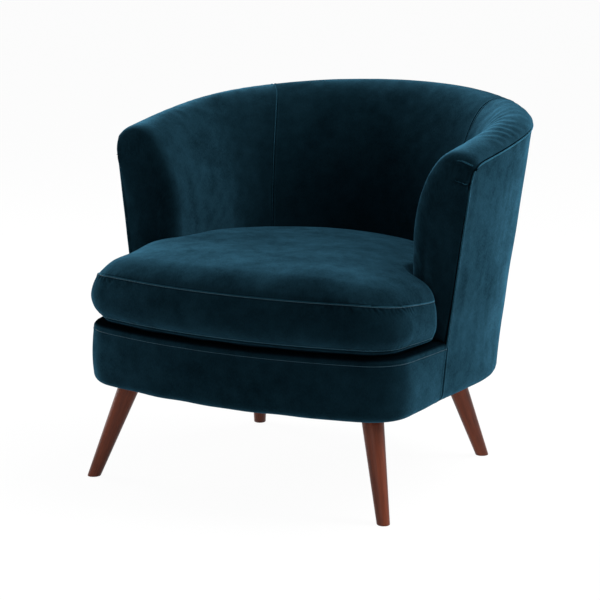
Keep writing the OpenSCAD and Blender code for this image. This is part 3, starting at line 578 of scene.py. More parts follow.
@dataclass(frozen=True)
class StainedWood:
    """Dark stained hardwood under a thin lacquer, its grain along the piece."""

    name: str = "leg_wood"
    dark: Colour = (0.038, 0.0085, 0.0045)
    warm: Colour = (0.180, 0.039, 0.0150)

    def build(self) -> Material:
        """Makes the material."""
        shader = Shader(self.name)
        figure = shader.noise(shader.places((38.0, 3.2, 1.0), uv=True), 1.0, 4.0, 0.6).swung(0.3, 0.7)
        pores = shader.noise(shader.places((900.0, 30.0, 1.0), uv=True), 1.0, 2.0, 0.5).swung(0.55, 0.75)
        tone = (figure * 0.85 + 0.1 - pores * 0.35).held()
        worn = shader.noise(shader.places(), 55.0, 3.0).swung(0.3, 0.7, 0.3, 0.42)
        normal = shader.bumped(1.0 - pores, 0.12, 0.0003)
        lacquer = {"Specular IOR Level": 0.15, "Coat Weight": 0.05, "Coat Roughness": 0.3}
        return shader.painted(tone, (self.dark, self.warm), worn, normal, lacquer)


@dataclass(frozen=True)
class Board:
    """Raw plywood or fibreboard."""

    name: str
    pale: Colour
    deep: Colour
    layers: float
    grain: float

    def build(self) -> Material:
        """Makes the material."""
        shader = Shader(self.name)
        fibre = shader.noise(shader.places((self.grain, 12.0, 12.0)), 1.0, 4.0, 0.6)
        tone = (shader.bands("Z", self.layers, 0.4) * 0.35 + fibre * 0.65).held()
        rough, normal = fibre.swung(0.0, 1.0, 0.62, 0.85), shader.bumped(fibre, 0.25, 0.0006)
        return shader.painted(tone, (self.deep, self.pale), rough, normal)


@dataclass(frozen=True)
class Foam:
    """Open-cell foam."""

    name: str = "foam"
    pale: Colour = (0.82, 0.72, 0.42)
    deep: Colour = (0.62, 0.50, 0.24)

    def build(self) -> Material:
        """Makes the material."""
        shader = Shader(self.name)
        cells = shader.value("Distance", "ShaderNodeTexVoronoi", {"Vector": shader.places(), "Scale": 700.0})
        hollow = cells.swung(0.0, 0.6)
        return shader.painted(hollow, (self.deep, self.pale), 0.95, shader.bumped(hollow, 0.5, 0.0008))


@dataclass(frozen=True)
class Fibre:
    """Wadding or felt: matted fibres."""

    name: str
    pale: Colour
    deep: Colour
    size: float

    def build(self) -> Material:
        """Makes the material."""
        shader = Shader(self.name)
        tangle, cross = (
            shader.noise(shader.places(scale), self.size, 5.0, 0.7) * 0.5
            for scale in ((1.0, 3.0, 1.0), (3.0, 1.0, 1.0))
        )
        tone = (tangle + cross).swung(0.35, 0.65)
        normal = shader.bumped(tone, 0.45, 0.001)
        return shader.painted(tone, (self.deep, self.pale), 0.9, normal, {"Sheen Weight": 0.2})


@dataclass(frozen=True)
class Woven:
    """Thin woven or bonded cloth, such as webbing and lining."""

    name: str
    pale: Colour
    deep: Colour
    threads: float

    def build(self) -> Material:
        """Makes the material."""
        shader = Shader(self.name)
        weave = shader.bands("X", self.threads, 0.3) * 0.5 + shader.bands("Y", self.threads, 0.3) * 0.5
        tone = (weave * 0.7 + shader.noise(shader.places(), 40.0, 3.0) * 0.3).held()
        return shader.painted(tone, (self.deep, self.pale), 0.85, shader.bumped(weave, 0.3, 0.0004))


@dataclass(frozen=True)
class Metal:
    """Zinc plated steel, faintly brushed."""

    name: str = "steel"
    bright: Colour = (0.55, 0.56, 0.57)
    dull: Colour = (0.33, 0.34, 0.35)

    def build(self) -> Material:
        """Makes the material."""
        shader = Shader(self.name)
        brushed = shader.noise(shader.places((400.0, 60.0, 400.0)), 1.0, 3.0)
        bloom = shader.noise(shader.places(), 90.0, 4.0, 0.6).swung(0.3, 0.7)
        rough, normal = (brushed * 0.2 + bloom * 0.12 + 0.2).held(), shader.bumped(brushed, 0.1, 0.0002)
        return shader.painted(bloom, (self.dull, self.bright), rough, normal, {"Metallic": 1.0})


def built(finish: Any) -> Any:
    """A field that is filled with a finish's material."""
    return field(default_factory=finish.build)


# A lighter copy of the velvet for the seam rolls and tucks: its brighter colours are a painted highlight
# along the seams.
SEAM_HIGHLIGHT = Velvet("velvet_seam", (0.0045, 0.0190, 0.0290), (0.0120, 0.0480, 0.0700), dull=0.4, bright=0.9)


@dataclass(frozen=True)
class Finishes:
    """Every finish of the chair, made once. The names are those of the material slots, and more."""

    velvet: Material = built(Velvet())
    arm_velvet: Material = built(Velvet("velvet_arm", dull=0.11, bright=0.68))
    # The lighter velvet with the painted highlight of the seams.
    seam_pile: Material = built(SEAM_HIGHLIGHT)
    thread: Material = built(Thread())
    leg_wood: Material = built(StainedWood())
    plywood: Material = built(Board("plywood", (0.60, 0.40, 0.20), (0.38, 0.22, 0.09), 70.0, 160.0))
    fibreboard: Material = built(Board("fibreboard", (0.26, 0.15, 0.08), (0.18, 0.10, 0.05), 12.0, 300.0))
    foam: Material = built(Foam())
    wadding: Material = built(Fibre("wadding", (0.85, 0.85, 0.82), (0.66, 0.66, 0.64), 180.0))
    webbing: Material = built(Woven("webbing", (0.50, 0.42, 0.24), (0.28, 0.22, 0.11), 260.0))
    felt: Material = built(Fibre("felt", (0.20, 0.20, 0.22), (0.10, 0.10, 0.115), 260.0))
    lining: Material = built(Woven("lining", (0.012, 0.012, 0.014), (0.005, 0.005, 0.006), 420.0))
    steel: Material = built(Metal())


# The chair's plan and profiles


@dataclass
class Stations:
    """Places along the base outline.

    Each has its point and outward normal, its distance behind the arm front, the rounding turn of the
    arm end there, its angle on the arc of the back, its side and its distance along.
    """

    point: Array
    normal: Array
    behind: Array
    turn: Array
    angle: Array
    hand: Array
    along: Array

    @staticmethod
    def laid(
        point: Array, normal: Array, behind: Array | float = 1000.0,
        turn: Array | float = 90.0, angle: Array | float = -1.0,
    ) -> "Stations":
        """Stations on the right side, with no distance along yet. The angle is -1 off the back's arc."""
        values = (behind, turn, angle, 1.0, 0.0)
        each = (np.array(np.broadcast_to(value, len(point)), dtype=float) for value in values)
        return Stations(point, normal, *each)

    @staticmethod
    def joined(parts: Sequence["Stations"]) -> "Stations":
        """Several runs as one."""
        names = [own.name for own in fields(Stations)]
        return Stations(*(np.concatenate([getattr(part, name) for part in parts]) for name in names))

    def count(self) -> int:
        """How many places there are."""
        return len(self.behind)

    def pick(self, keep: slice) -> "Stations":
        """Some of the places."""
        return Stations(*(getattr(self, own.name)[keep] for own in fields(self)))

    def whole(self) -> "Stations":
        """The run, then its mirror image back to the other side, with its distance along from the middle."""
        other = self.pick(slice(None, None, -1))
        other = replace(other, point=other.point * FLIP, normal=other.normal * FLIP, hand=-other.hand)
        run = Stations.joined([self, other.pick(slice(1, None))])
        along = run_of(run.point)
        return replace(run, along=along - along[-1] / 2)


@dataclass(frozen=True)
class TubForm:
    """Plan and profiles of the chair, with the sizes of its solids, in mm."""

    half_width: float = 346.0
    front_depth: float = 340.0
    back_depth: float = 372.0
    front_radius: float = 1005.0
    front_corner_radius: float = 80.0
    front_side_radius: float = 3400.0
    back_radius: float = 378.0
    back_corner_radius: float = 232.0
    back_side_radius: float = 934.0
    base_bottom: float = 183.6
    seam_height: float = 290.5
    deck_top: float = 303.0
    arm_rim: float = 626.0
    back_rim: float = 695.0
    rim_bow: float = 2.2
    flare: float = 0.136
    base_taper: float = 0.1
    border_taper: float = 0.01
    border_belly: float = 4.0
    border_blend: float = 120.0
    arm_reach: float = 97.0
    arm_lean: float = 0.024
    wall_depth: float = 88.0
    spring_height: float = 460.0
    roll_width: float = 41.0
    roll_height: float = 24.0
    arm_round: float = 38.0
    arm_pad: float = 18.0
    seam_corner: float = 28.0
    arm_bulge: float = 4.0
    bottom_round: float = 19.0
    shell_round: float = 24.0
    lip_round: float = 12.0
    lip_width: float = 45.0
    hem: float = 15.0
    cover: float = 1.5
    cover_gap: float = 0.2
    tuck_bottom: float = 271.2
    panel_low: float = 44.3
    panel_angle: float = 48.9
    panel_low_z: float = 430.0

    @property
    def back_reach(self) -> float:
        """How far back the flared rim goes."""
        return self.back_depth + self.flare * (self.back_rim - self.seam_height)

    @property
    def widest_y(self) -> float:
        """Place of the widest line in the row frame."""
        return (self.front_depth + self.border_belly - self.back_reach) / 2

    @property
    def shift(self) -> Array:
        """The move from the plan to the row frame."""
        return np.array([0.0, self.widest_y])

    @property
    def front_side(self) -> Array:
        """Centre of the side arc in front of the widest line."""
        return np.array([self.half_width - self.front_side_radius, 0.0])

    @property
    def back_side(self) -> Array:
        """Centre of the side arc behind the widest line."""
        return np.array([self.half_width - self.back_side_radius, 0.0])

    @property
    def back(self) -> Array:
        """Centre of the arc of the back."""
        return np.array([0.0, self.back_depth - self.back_radius])

    @property
    def front(self) -> Array:
        """Centre of the arc of the front."""
        return np.array([0.0, self.front_radius - self.front_depth])

    @staticmethod
    def corner(side: Array, side_r: float, end: Array, end_r: float, corner_r: float) -> Array:
        """Centre of a corner arc that joins a side arc and an end arc.

        Args:
            side: Centre of the side arc.
            side_r: Its radius.
            end: Centre of the end arc.
            end_r: Its radius.
            corner_r: Radius of the corner.

        Returns:
            The centre, in plan.
        """
        r1, r2 = side_r - corner_r, end_r - corner_r
        gap = float(np.linalg.norm(end - side))
        along = (r1 * r1 - r2 * r2 + gap * gap) / (2 * gap)
        across = math.sqrt(r1 * r1 - along * along)
        heading = (end - side) / gap
        foot, aside = side + heading * along, np.array([-heading[1], heading[0]]) * across
        return max((foot + aside, foot - aside), key=lambda p: p[0] + p[1])

    @property
    def front_corner(self) -> Array:
        """Centre of the front corner, with y forward."""
        side, end = self.front_side, -self.front
        return self.corner(side, self.front_side_radius, end, self.front_radius, self.front_corner_radius)

    @property
    def back_corner(self) -> Array:
        """Centre of the back corner."""
        return self.corner(
            self.back_side, self.back_side_radius, self.back, self.back_radius, self.back_corner_radius
        )

    @property
    def arm_angle(self) -> float:
        """Angle of the arm front on the side arc, in degrees."""
        return -math.degrees(math.asin(self.arm_reach / self.front_side_radius))

    @property
    def arc_ends(self) -> dict[str, float]:
        """Angles at which the arcs of the outline meet, in degrees."""
        front, back = self.front_corner, self.back_corner
        return {
            "front_side": bearing(*(front - self.front_side)),
            "front_corner": bearing(*(front + self.front)),
            "back_side": bearing(*(back - self.back_side)),
            "back_corner": bearing(*(back - self.back)),
        }

    def arc(self, centre: Array, radius: float, angles: Array, end: bool = False) -> Stations:
        """Stations on one arc of the right side. The end is the arc of the back, with its slanting seams."""
        out = unit(angles)
        return Stations.laid(centre + radius * out, out, angle=angles if end else -1.0)

    def sweep(self, centre: Array, radius: float, start: float, end: float, pitch: float) -> Stations:
        """Stations on an arc of the right side at about a pitch, without its first place."""
        return self.arc(centre, radius, spaced(start, end, pitch, radius))

    def arm_end(self, distances: Array, turns: Array | float) -> Stations:
        """Stations straight behind the arm front.

        Args:
            distances: How far behind it.
            turns: Rounding turns of the arm end there, in degrees.

        Returns:
            The stations.
        """
        front = self.arc(self.front_side, self.front_side_radius, np.array([self.arm_angle]))
        rear = np.array([-front.normal[0, 1], front.normal[0, 0]])
        normals = np.repeat(front.normal, len(distances), axis=0)
        return Stations.laid(front.point + np.outer(distances, rear), normals, distances, turns)

    def round_the_back(self, start: Stations, pitch: float) -> Stations:
        """Stations from an arm front round the back to the other one, closer together at the panel seams.

        Args:
            start: The first stations, behind the right arm front.
            pitch: Distance between the others.

        Returns:
            The whole run.
        """
        ends = self.arc_ends
        last = math.degrees(math.asin(start.point[-1, 1] / self.front_side_radius))
        beside = np.array([0.8, 1.6, 2.6, 4.0, 6.0, 9.0])
        beside = np.concatenate([-beside[::-1], [0.0], beside])
        seam = self.panel_angle + beside / self.back_radius * RADIAN
        angles = np.concatenate([
            spaced(ends["back_corner"], seam[0], pitch, self.back_radius),
            seam[1:],
            spaced(seam[-1], 90.0, pitch, self.back_radius),
        ])
        corner = self.back_corner, self.back_corner_radius
        return Stations.joined([
            start,
            self.sweep(self.front_side, self.front_side_radius, last, 0.0, pitch),
            self.sweep(self.back_side, self.back_side_radius, 0.0, ends["back_side"], pitch),
            self.sweep(*corner, ends["back_side"], ends["back_corner"], pitch),
            self.arc(self.back, self.back_radius, angles, end=True),
        ]).whole()

    def round_the_front(self, pitch: float) -> Stations:
        """Stations of the border, from the right arm front round the front to the left one.

        Args:
            pitch: Distance between most of them.

        Returns:
            The whole run.
        """
        side, corner = -self.arc_ends["front_side"], -self.arc_ends["front_corner"]
        beside = np.array([0.0, 0.7, 1.4, 2.2, 3.2, 4.5, 6.5, 9.0])
        near = self.arm_angle - beside / self.front_side_radius * RADIAN
        return Stations.joined([
            self.arc(self.front_side, self.front_side_radius, near),
            self.sweep(self.front_side, self.front_side_radius, near[-1], side, pitch),
            self.sweep(self.front_corner * -FLIP, self.front_corner_radius, side, corner, pitch * 0.8),
            self.sweep(self.front, self.front_radius, corner, -90.0, pitch),
        ]).whole()

    def lean(self, z: Array | float) -> Array:
        """Offset of the outer surface from the base outline at a height."""
        rise = np.asarray(z, dtype=float) - self.seam_height
        return np.where(rise > 0, self.flare, self.base_taper) * rise

    def rim_height(self, run: Stations) -> Array:
        """Height of the rim seam at each station."""
        z = np.full(run.count(), self.back_rim)
        for _ in range(3):
            y = run.point[:, 1] + run.normal[:, 1] * self.lean(z)
            t = (y + self.arm_reach) / (self.back_reach + self.arm_reach)
            z = blend(self.arm_rim, self.back_rim, t) + 4 * self.rim_bow * t * (1 - t)
        return z

    def seam_z(self, run: Stations) -> Array:
        """Height of the rim seam, with its turn down over the corner of the arm front."""
        corner = self.seam_corner
        gap = corner - np.minimum(run.behind, corner)
        return self.rim_height(run) - (corner - np.sqrt(np.maximum(0.0, corner**2 - gap**2)))

    def lower_end(self, u: float, z: float, radius: float, steps: int) -> Array:
        """Rows of offset and height round the bottom edge and in under the base, without the first."""
        turn = np.radians(np.linspace(0, 90, steps))
        under = np.column_stack([u - radius + radius * np.cos(turn), z - radius * np.sin(turn)])
        return np.concatenate([under[1:], [[u - radius - self.hem, self.base_bottom]]])

    def place(self, run: Stations, u: Array, z: Array) -> Array:
        """Points of the shell. On the arc of the back they slant with the panel seams.

        Args:
            run: The stations, one for each column.
            u: Offset outward, a row of numbers for each station.
            z: Height, the same way.

        Returns:
            The points in the row frame.
        """
        corner_end, angle = self.arc_ends["back_corner"], run.angle
        share = np.where(
            angle < self.panel_angle,
            (angle - corner_end) / (self.panel_angle - corner_end),
            (90.0 - angle) / (90.0 - self.panel_angle),
        )
        share = np.where(angle < 0, 0.0, np.clip(share, 0.0, 1.0))
        rise = np.clip((z - self.panel_low_z) / (self.back_rim - self.panel_low_z), 0.0, 1.0) ** 2
        slant = (self.panel_low - self.panel_angle) * (1.0 - rise) * share[:, None]
        turned = unit(angle[:, None] + slant)
        turned[..., 0] *= run.hand[:, None]
        on_back = ((angle >= 0) & (share > 0))[:, None, None]
        point = np.where(on_back, self.back + self.back_radius * turned, run.point[:, None])
        normal = np.where(on_back, turned, run.normal[:, None])
        settle = np.maximum(0.0, 1.0 - run.behind / self.arm_pad)[:, None] * self.arm_lean
        settle = settle * np.maximum(0.0, z - self.seam_height)
        rear = np.stack([-normal[..., 1], normal[..., 0]], axis=-1) * run.hand[:, None, None]
        flat = point + u[..., None] * normal + settle[..., None] * rear
        return np.concatenate([flat + self.shift, z[..., None]], axis=-1)


# Shell covers

# Distances in mm of the first rows of points beside a seam, and of some further ones.
SEAM_STEPS = (0.0, 0.6, 1.2, 1.9, 2.7, 3.6, 4.7, 6.2, 8.2, 11.0, 15.0)
FAR_STEPS = (20.0, 25.0, 30.0, 35.0)
# Place of the tuck in the order of the solid's rows.
TUCK_ROW = 12.0


@dataclass(frozen=True)
class Tuck:
    """A short fold in the cloth: its line in the row frame, how far it stands out and how wide."""

    path: tuple[tuple[float, float, float], ...]
    height: float
    reach: float


UPPER_TUCK = (
    (352.0, -122.5, 634.5),
    (361.0, -126.2, 635.8),
    (370.3, -127.2, 635.0),
    (380.5, -127.2, 631.3),
    (390.5, -124.0, 624.5),
    (394.5, -122.7, 621.8),
)
LOWER_TUCK = ((356.0, -132.0, 601.6), (363.0, -133.6, 600.0), (375.2, -134.9, 597.1), (384.0, -134.6, 596.3))
TUCKS = (Tuck(UPPER_TUCK, 4.6, 16.0), Tuck(LOWER_TUCK, 2.0, 10.0))


def panel_seams(quilt: Quilt, columns: Sequence[int], groove: float, shoulder: float) -> Array:
    """Relief of the panel seams at these columns: a groove of some depth and the raised cloth beside it."""
    gaps = [np.abs(quilt.along - quilt.along[column]) for column in columns]
    return sum(
        shoulder * bell(gap, 3.4, 2.0) - groove * bell(gap, 0.0, 1.3) - 0.35 * bell(gap, 6.5, 1.4)
        for gap in gaps
    )


@dataclass
class ShellCovers:
    """The velvet of the tub: inside panels with the roll and the arm fronts, outside panels and border."""

    form: TubForm
    finishes: Finishes
    pitch: float = 5.0
    cap_steps: int = 20
    face_steps: int = 9
    inside_steps: int = 62
    outside_steps: int = 70
    lip_steps: int = 12
    border_steps: int = 30
    far: float = 900.0
    thickness: float = 1.2
    ripple_length: float = 27.0
    ripple_height: float = 0.9
    left_ripples: float = 0.25

    def grid(self, run: Stations, profiles: Sequence[tuple[Array, Array]]) -> tuple[Quilt, Array]:
        """A surface from its profiles, as resampled() gives them, and the same profiles as one table."""
        shape, down = (np.stack(part) for part in zip(*profiles))
        along = np.repeat(run.along[:, None], down.shape[1], axis=1)
        return Quilt(self.form.place(run, shape[..., 0], shape[..., 1]), along, down), shape

    def inside_profile(self, turn: float, z0: float, rim: float) -> Array:
        """Profile of the inside at one station: over the roll, down the wall and into the tuck.

        Args:
            turn: The station's rounding turn of the arm end.
            z0: Height of the rim seam there.
            rim: The same without the turn down over the arm front.

        Returns:
            Rows of offset, height and place in the order of the solid's rows.
        """
        form = self.form
        inset = form.arm_round * (1.0 - math.sin(math.radians(turn)))
        wall_u = -form.wall_depth + inset
        u0 = float(form.lean(z0))
        mid = float(form.lean(rim)) - form.roll_width
        top = z0 + form.roll_height * (1.0 - 0.6 * inset / form.arm_round)
        roll = np.radians(np.linspace(0, 90, 31))
        wall = np.radians(np.linspace(3, 90, 44))
        z = blend(form.spring_height, form.tuck_bottom, np.linspace(0, 1, 26)[1:])
        mid_z = (form.spring_height + form.seam_height) / 2
        heights = np.array([form.spring_height, mid_z, form.seam_height, form.tuck_bottom])
        order = np.interp(-z, -heights, [9, 10, 11, TUCK_ROW])
        return np.concatenate([
            np.column_stack([
                blend(mid, u0, np.cos(roll)),
                blend(z0, top, np.sin(roll)),
                np.degrees(roll) / 30,
            ]),
            np.column_stack([
                blend(mid, wall_u, np.sin(wall)),
                blend(form.spring_height, top, np.cos(wall)),
                3 + np.degrees(wall) / 15,
            ]),
            np.column_stack([np.full(len(z), wall_u), z, order]),
        ])

    def arm_face(self, end: Stations, rows: Array) -> tuple[Array, Array, Array]:
        """One arm front, from the edge of the wall to the seam of the outside.

        Args:
            end: The last station of the wall.
            rows: The profile there.

        Returns:
            Columns of points, their distances from the wall and those from the seam.
        """
        form = self.form
        z = blend(rows[0, 1], form.tuck_bottom, rows[:, 2] / TUCK_ROW)
        edge = np.column_stack([form.lean(z) - form.cover - form.cover_gap, z])
        width = np.linalg.norm(edge - rows[:, :2], axis=1)
        near = np.array(SEAM_STEPS[::-1])[:, None]
        even = np.arange(1, self.face_steps + 1)[:, None] / (self.face_steps + 1)
        most = 2 * near[0]
        close = 1.0 - np.minimum(near, width * near / most) / np.maximum(width, 1e-6)
        share = np.concatenate([even * np.maximum(0.0, 1.0 - near[0] / np.maximum(width, most)), close])
        at = blend(rows[:, :2], edge, share[..., None])
        swell = form.arm_bulge * 4 * share * (1 - share)
        swell = swell * np.clip((at[..., 1] - form.deck_top - 25) / 60, 0.0, 1.0)
        laid = form.place(end, at[..., 0].reshape(1, -1), at[..., 1].reshape(1, -1)).reshape(*share.shape, 3)
        ahead = np.array([end.normal[0, 1], -end.normal[0, 0], 0.0]) * end.hand[0]
        return laid + swell[..., None] * ahead, width * share, width * (1 - share)

    def inside(self) -> tuple[Quilt, tuple[int, int]]:
        """The whole inside surface, from the right arm front to the left one.

        Returns:
            The grid, and the columns of the two panel seams.
        """
        form = self.form
        turns = np.linspace(0, 90, self.cap_steps)
        start = form.arm_end(form.arm_round * (1.0 - np.cos(np.radians(turns))), turns)
        run = form.round_the_back(start, self.pitch)
        stations = zip(run.turn, form.seam_z(run), form.rim_height(run))
        profiles = [resampled(self.inside_profile(*at), SEAM_STEPS, self.inside_steps) for at in stations]
        wall, shape = self.grid(run, profiles)
        right = self.arm_face(run.pick(slice(0, 1)), shape[0])
        right, right_along, right_edge = (part[::-1] for part in right)
        left, left_along, left_edge = self.arm_face(run.pick(slice(-1, None)), shape[-1])
        self.face_edge = np.concatenate([right_edge, np.full(wall.along.shape, self.far), left_edge])
        quilt = Quilt(
            np.concatenate([right, wall.points, left]),
            np.concatenate([wall.along[0] - right_along, wall.along, wall.along[-1] + left_along]),
            np.pad(wall.down, ((len(right), len(left)), (0, 0)), mode="edge"),
        )
        seams = np.flatnonzero(np.isclose(run.angle, form.panel_angle)) + len(right)
        return quilt, (int(seams[0]), int(seams[-1]))

    def inside_relief(self, quilt: Quilt, seams: tuple[int, int]) -> Array:
        """Seam grooves, ripples over the roll and soft unevenness.

        Args:
            quilt: The inside grid.
            seams: Columns of the panel seams.

        Returns:
            How far each point stands out, in mm.
        """
        along, down = quilt.along, quilt.down
        edge = np.minimum(down, self.face_edge)
        relief = 0.9 - 1.5 * bell(edge, 0.0, 1.5) + 0.9 * bell(edge, 5.0, 3.0)
        relief += panel_seams(quilt, seams, 1.9, 0.8)
        behind = np.abs(along[0, 0]) - np.abs(along)
        phase = behind + 9.0 * wander(along, down, 90.0, 11) + 0.22 * down
        wave = np.sin(TURN * phase / self.ripple_length)
        zone = ease(behind, 90.0, 130.0) * (1.0 - ease(behind, 300.0, 520.0)) * ease(down, 3.0, 22.0)
        zone *= 1.0 - ease(down, 62.0, 130.0)
        zone *= np.where(quilt.points[..., 0] > 0, 1.0, self.left_ripples)
        relief += self.ripple_height * wave * zone * (0.55 + 0.45 * wander(along, down, 130.0, 5))
        soft = ease(down, 20.0, 90.0)
        relief += soft * np.maximum(-0.6, 0.7 * wander(along, down, 170.0, 21))
        relief += 0.25 * soft * wander(along, down, 48.0, 22)
        return np.maximum(relief, -1.1)

    def tucked(self, quilt: Quilt) -> Quilt:
        """Raises the cloth above the tucks at the top of the right arm front, and paints shade under them.

        Args:
            quilt: The inside grid.

        Returns:
            The grid with its tucks.
        """
        points, shut, normals = quilt.points, quilt.shut, quilt.normals()
        for tuck in TUCKS:
            start, end = np.array(tuck.path[0]), np.array(tuck.path[-1])
            length = float(np.linalg.norm(end - start))
            line = (end - start) / length
            run = (points - start) @ line
            away = points - start - run[..., None] * line
            depth = np.linalg.norm(away, axis=2)
            span = ease(run, -0.9 * length, 0.3 * length) * (1.0 - ease(run, 0.8 * length, 1.2 * length))
            upper = tuck.height * bell(depth, 0.0, tuck.reach) * (away[..., 2] > -1.5)
            under = -0.9 * bell(depth, 0.0, 5.0) * (away[..., 2] <= -1.5)
            points = points + ((upper + under) * span)[..., None] * normals
            # Painted shadow in the cloth just under each fold.
            shut = np.maximum(shut, 0.9 * bell(depth, 0.0, 0.4 * tuck.reach) * span * (away[..., 2] <= 0.0))
        return replace(quilt, points=points, shut=shut)

    def dress(self, name: str, node: str, quilt: Quilt, under: str, finish: Material) -> Object:
        """Makes one cover and gives it its thickness, finish and body.

        Args:
            name: Name of the piece.
            node: The solid that it stands for.
            quilt: Its grid.
            under: What it is stretched over; not used.
            finish: Its material.

        Returns:
            The cover.
        """
        piece = quilt_object(name, quilt)
        area = sum(p.area for p in piece.data.polygons)
        thicken(piece, self.thickness)
        register(piece, "chair", "velvet", node, finish=finish)
        width, length = quilt.reach()
        area = min(area, width * length)
        return piece

    def panels(
        self, word: str, quilt: Quilt, seams: tuple[int, int], under: str, arms: Material
    ) -> list[Object]:
        """Cuts a surface at its two seams and makes the three covers.

        Args:
            word: Which surface it is.
            quilt: Its grid.
            seams: The columns of the seams.
            under: What it is stretched over.
            arms: Material of the left and right covers.

        Returns:
            The right, the back and the left cover.
        """
        cuts = (("right", 0, seams[0]), ("back", *seams), ("left", seams[1], len(quilt.points) - 1))
        made = []
        for hand, first, last in cuts:
            node, finish = f"{word}_cover_{hand}", self.finishes.velvet if hand == "back" else arms
            made.append(self.dress("velvet_" + node, node, quilt.part(first, last), under, finish))
        return made

    def build_inside(self) -> list[Object]:
        """Makes the three inside panels."""
        quilt, seams = self.inside()
        quilt = quilt.faced(len(quilt.points) // 2, quilt.points.shape[1] * 3 // 4, (0.0, -1.0, 0.0))
        edge = np.minimum(quilt.down, self.face_edge)
        # Painted shade in the last few mm of the cloth beside the rim seam and at the edges of the arm
        # fronts.
        quilt = replace(quilt, shut=1.0 - ease(edge, 3.0, 5.2)).raised(self.inside_relief(quilt, seams))
        self.inside_quilt, self.inside_seams = self.tucked(quilt), seams
        return self.panels("inside", self.inside_quilt, seams, "inside_foam", self.finishes.arm_velvet)

    def outside(self) -> tuple[Quilt, tuple[int, int]]:
        """The whole outside surface, from the right arm front to the left one.

        Returns:
            The grid, and the columns of the two panel seams.
        """
        form = self.form
        run = form.round_the_back(form.arm_end(np.array(SEAM_STEPS + FAR_STEPS), 90.0), self.pitch)
        seams = np.flatnonzero(np.isclose(run.angle, form.panel_angle))
        run = replace(run, angle=np.full(run.count(), -1.0))
        low_z = form.base_bottom + form.shell_round
        foot = form.lower_end(float(form.lean(low_z)), low_z, form.shell_round, 19)
        profiles = []
        for top in form.seam_z(run):
            z = np.linspace(top, low_z, 90)
            wall = np.concatenate([np.column_stack([form.lean(z), z]), foot])
            profiles.append(resampled(wall, SEAM_STEPS, self.outside_steps))
        self.outside_behind = np.minimum(run.behind, self.far)[:, None]
        return self.grid(run, profiles)[0], (int(seams[0]), int(seams[-1]))

    def build_outside(self) -> list[Object]:
        """Makes the three outside panels."""
        quilt, seams = self.outside()
        quilt = quilt.faced(len(quilt.points) // 2, 40, (0.0, 1.0, 0.0))
        along, down = quilt.along, quilt.down
        edge = np.minimum(down, self.outside_behind)
        relief = -0.6 * bell(edge, 0.0, 1.2) + 0.8 * bell(edge, 4.0, 2.2) + 0.3 * bell(edge, 10.0, 4.0)
        relief += panel_seams(quilt, seams, 2.0, 0.7)
        streak = ease(down, 6.0, 40.0) * (1.0 - ease(down, 150.0, 330.0))
        relief += 0.06 * wander(along, down * 0.12, 34.0, 31) * streak
        relief += 0.7 * ease(edge, 10.0, 80.0) * wander(along, down, 190.0, 32)
        self.outside_quilt = quilt.raised(np.maximum(relief, -0.9))
        return self.panels("outside", self.outside_quilt, seams, "outer_wadding", self.finishes.velvet)

    def border_profile(self, share: float) -> tuple[Array, Array]:
        """Profile of the border at one station, from its lip over the deck to its hem under the base.

        Args:
            share: How far it departs from the shell's profile, from 0 to 1.

        Returns:
            Rows of offset and height, and their distances down from the seam.
        """
        form = self.form
        radius = blend(form.shell_round, form.bottom_round, share)
        z = np.linspace(form.seam_height, form.base_bottom + radius, 40)
        t = (z - form.base_bottom) / (form.seam_height - form.base_bottom)
        own = form.border_taper * (z - form.seam_height) + form.border_belly * 4 * t * (1 - t)
        u = blend(form.lean(z), own, share)
        turn = np.radians(np.linspace(90, 0, 19))[1:]
        over = np.column_stack([
            form.lip_round * np.cos(turn) - form.lip_round,
            blend(form.seam_height, form.deck_top, np.sin(turn)),
        ])
        top = np.array([[-form.lip_width, form.deck_top], [-form.lip_round, form.deck_top]])
        lip, lip_down = resampled(np.concatenate([top, over])[::-1], SEAM_STEPS, self.lip_steps)
        wall = np.concatenate([np.column_stack([u, z]), form.lower_end(u[-1], z[-1], radius, 17)])
        wall, wall_down = resampled(wall, SEAM_STEPS, self.border_steps)
        self.border_seam_row = len(lip) - 1
        return np.concatenate([lip[::-1], wall[1:]]), np.concatenate([-lip_down[::-1], wall_down[1:]])

    def build_border(self) -> Object:
        """Makes the border round the front of the base, with its lip over the deck."""
        form = self.form
        run = form.round_the_front(self.pitch)
        arm = form.arm_end(np.array([0.0]), 0.0).point[0]
        gap = np.linalg.norm(np.column_stack([np.abs(run.point[:, 0]), run.point[:, 1]]) - arm, axis=1)
        profiles = [self.border_profile(share) for share in np.minimum(1.0, gap / form.border_blend)]
        quilt = self.grid(run, profiles)[0]
        along, down = quilt.along, quilt.down
        # Painted shade on the top of the lip, where the cushion hangs over it.
        shut = ease(-down, 5.0, 10.0) * (1.0 - ease(-down, 30.0, 45.0))
        quilt = replace(quilt, shut=shut).faced(len(along) // 2, 40, (0.0, -1.0, 0.0))
        end = along.max() - np.abs(along)
        relief = 0.5 - 1.4 * bell(down, 0.0, 1.1) + 0.8 * bell(down, 2.6, 1.5) + 0.4 * bell(down, -4.0, 2.5)
        relief += -1.6 * bell(end, 0.0, 1.4) + 0.7 * bell(end, 4.0, 2.6)
        phase = (along + 3 * wander(along, down, 40.0, 44)) / 9.0
        relief += 0.3 * np.sin(TURN * phase) * bell(down, -5.0, 6.0)
        relief += 0.6 * ease(np.abs(down), 8.0, 30.0) * wander(along, down, 150.0, 41)
        self.border_quilt = quilt = quilt.raised(np.maximum(relief, -0.9))
        return self.dress("velvet_border", "border_cover", quilt, "border_foam", self.finishes.velvet)


# Seat cushion


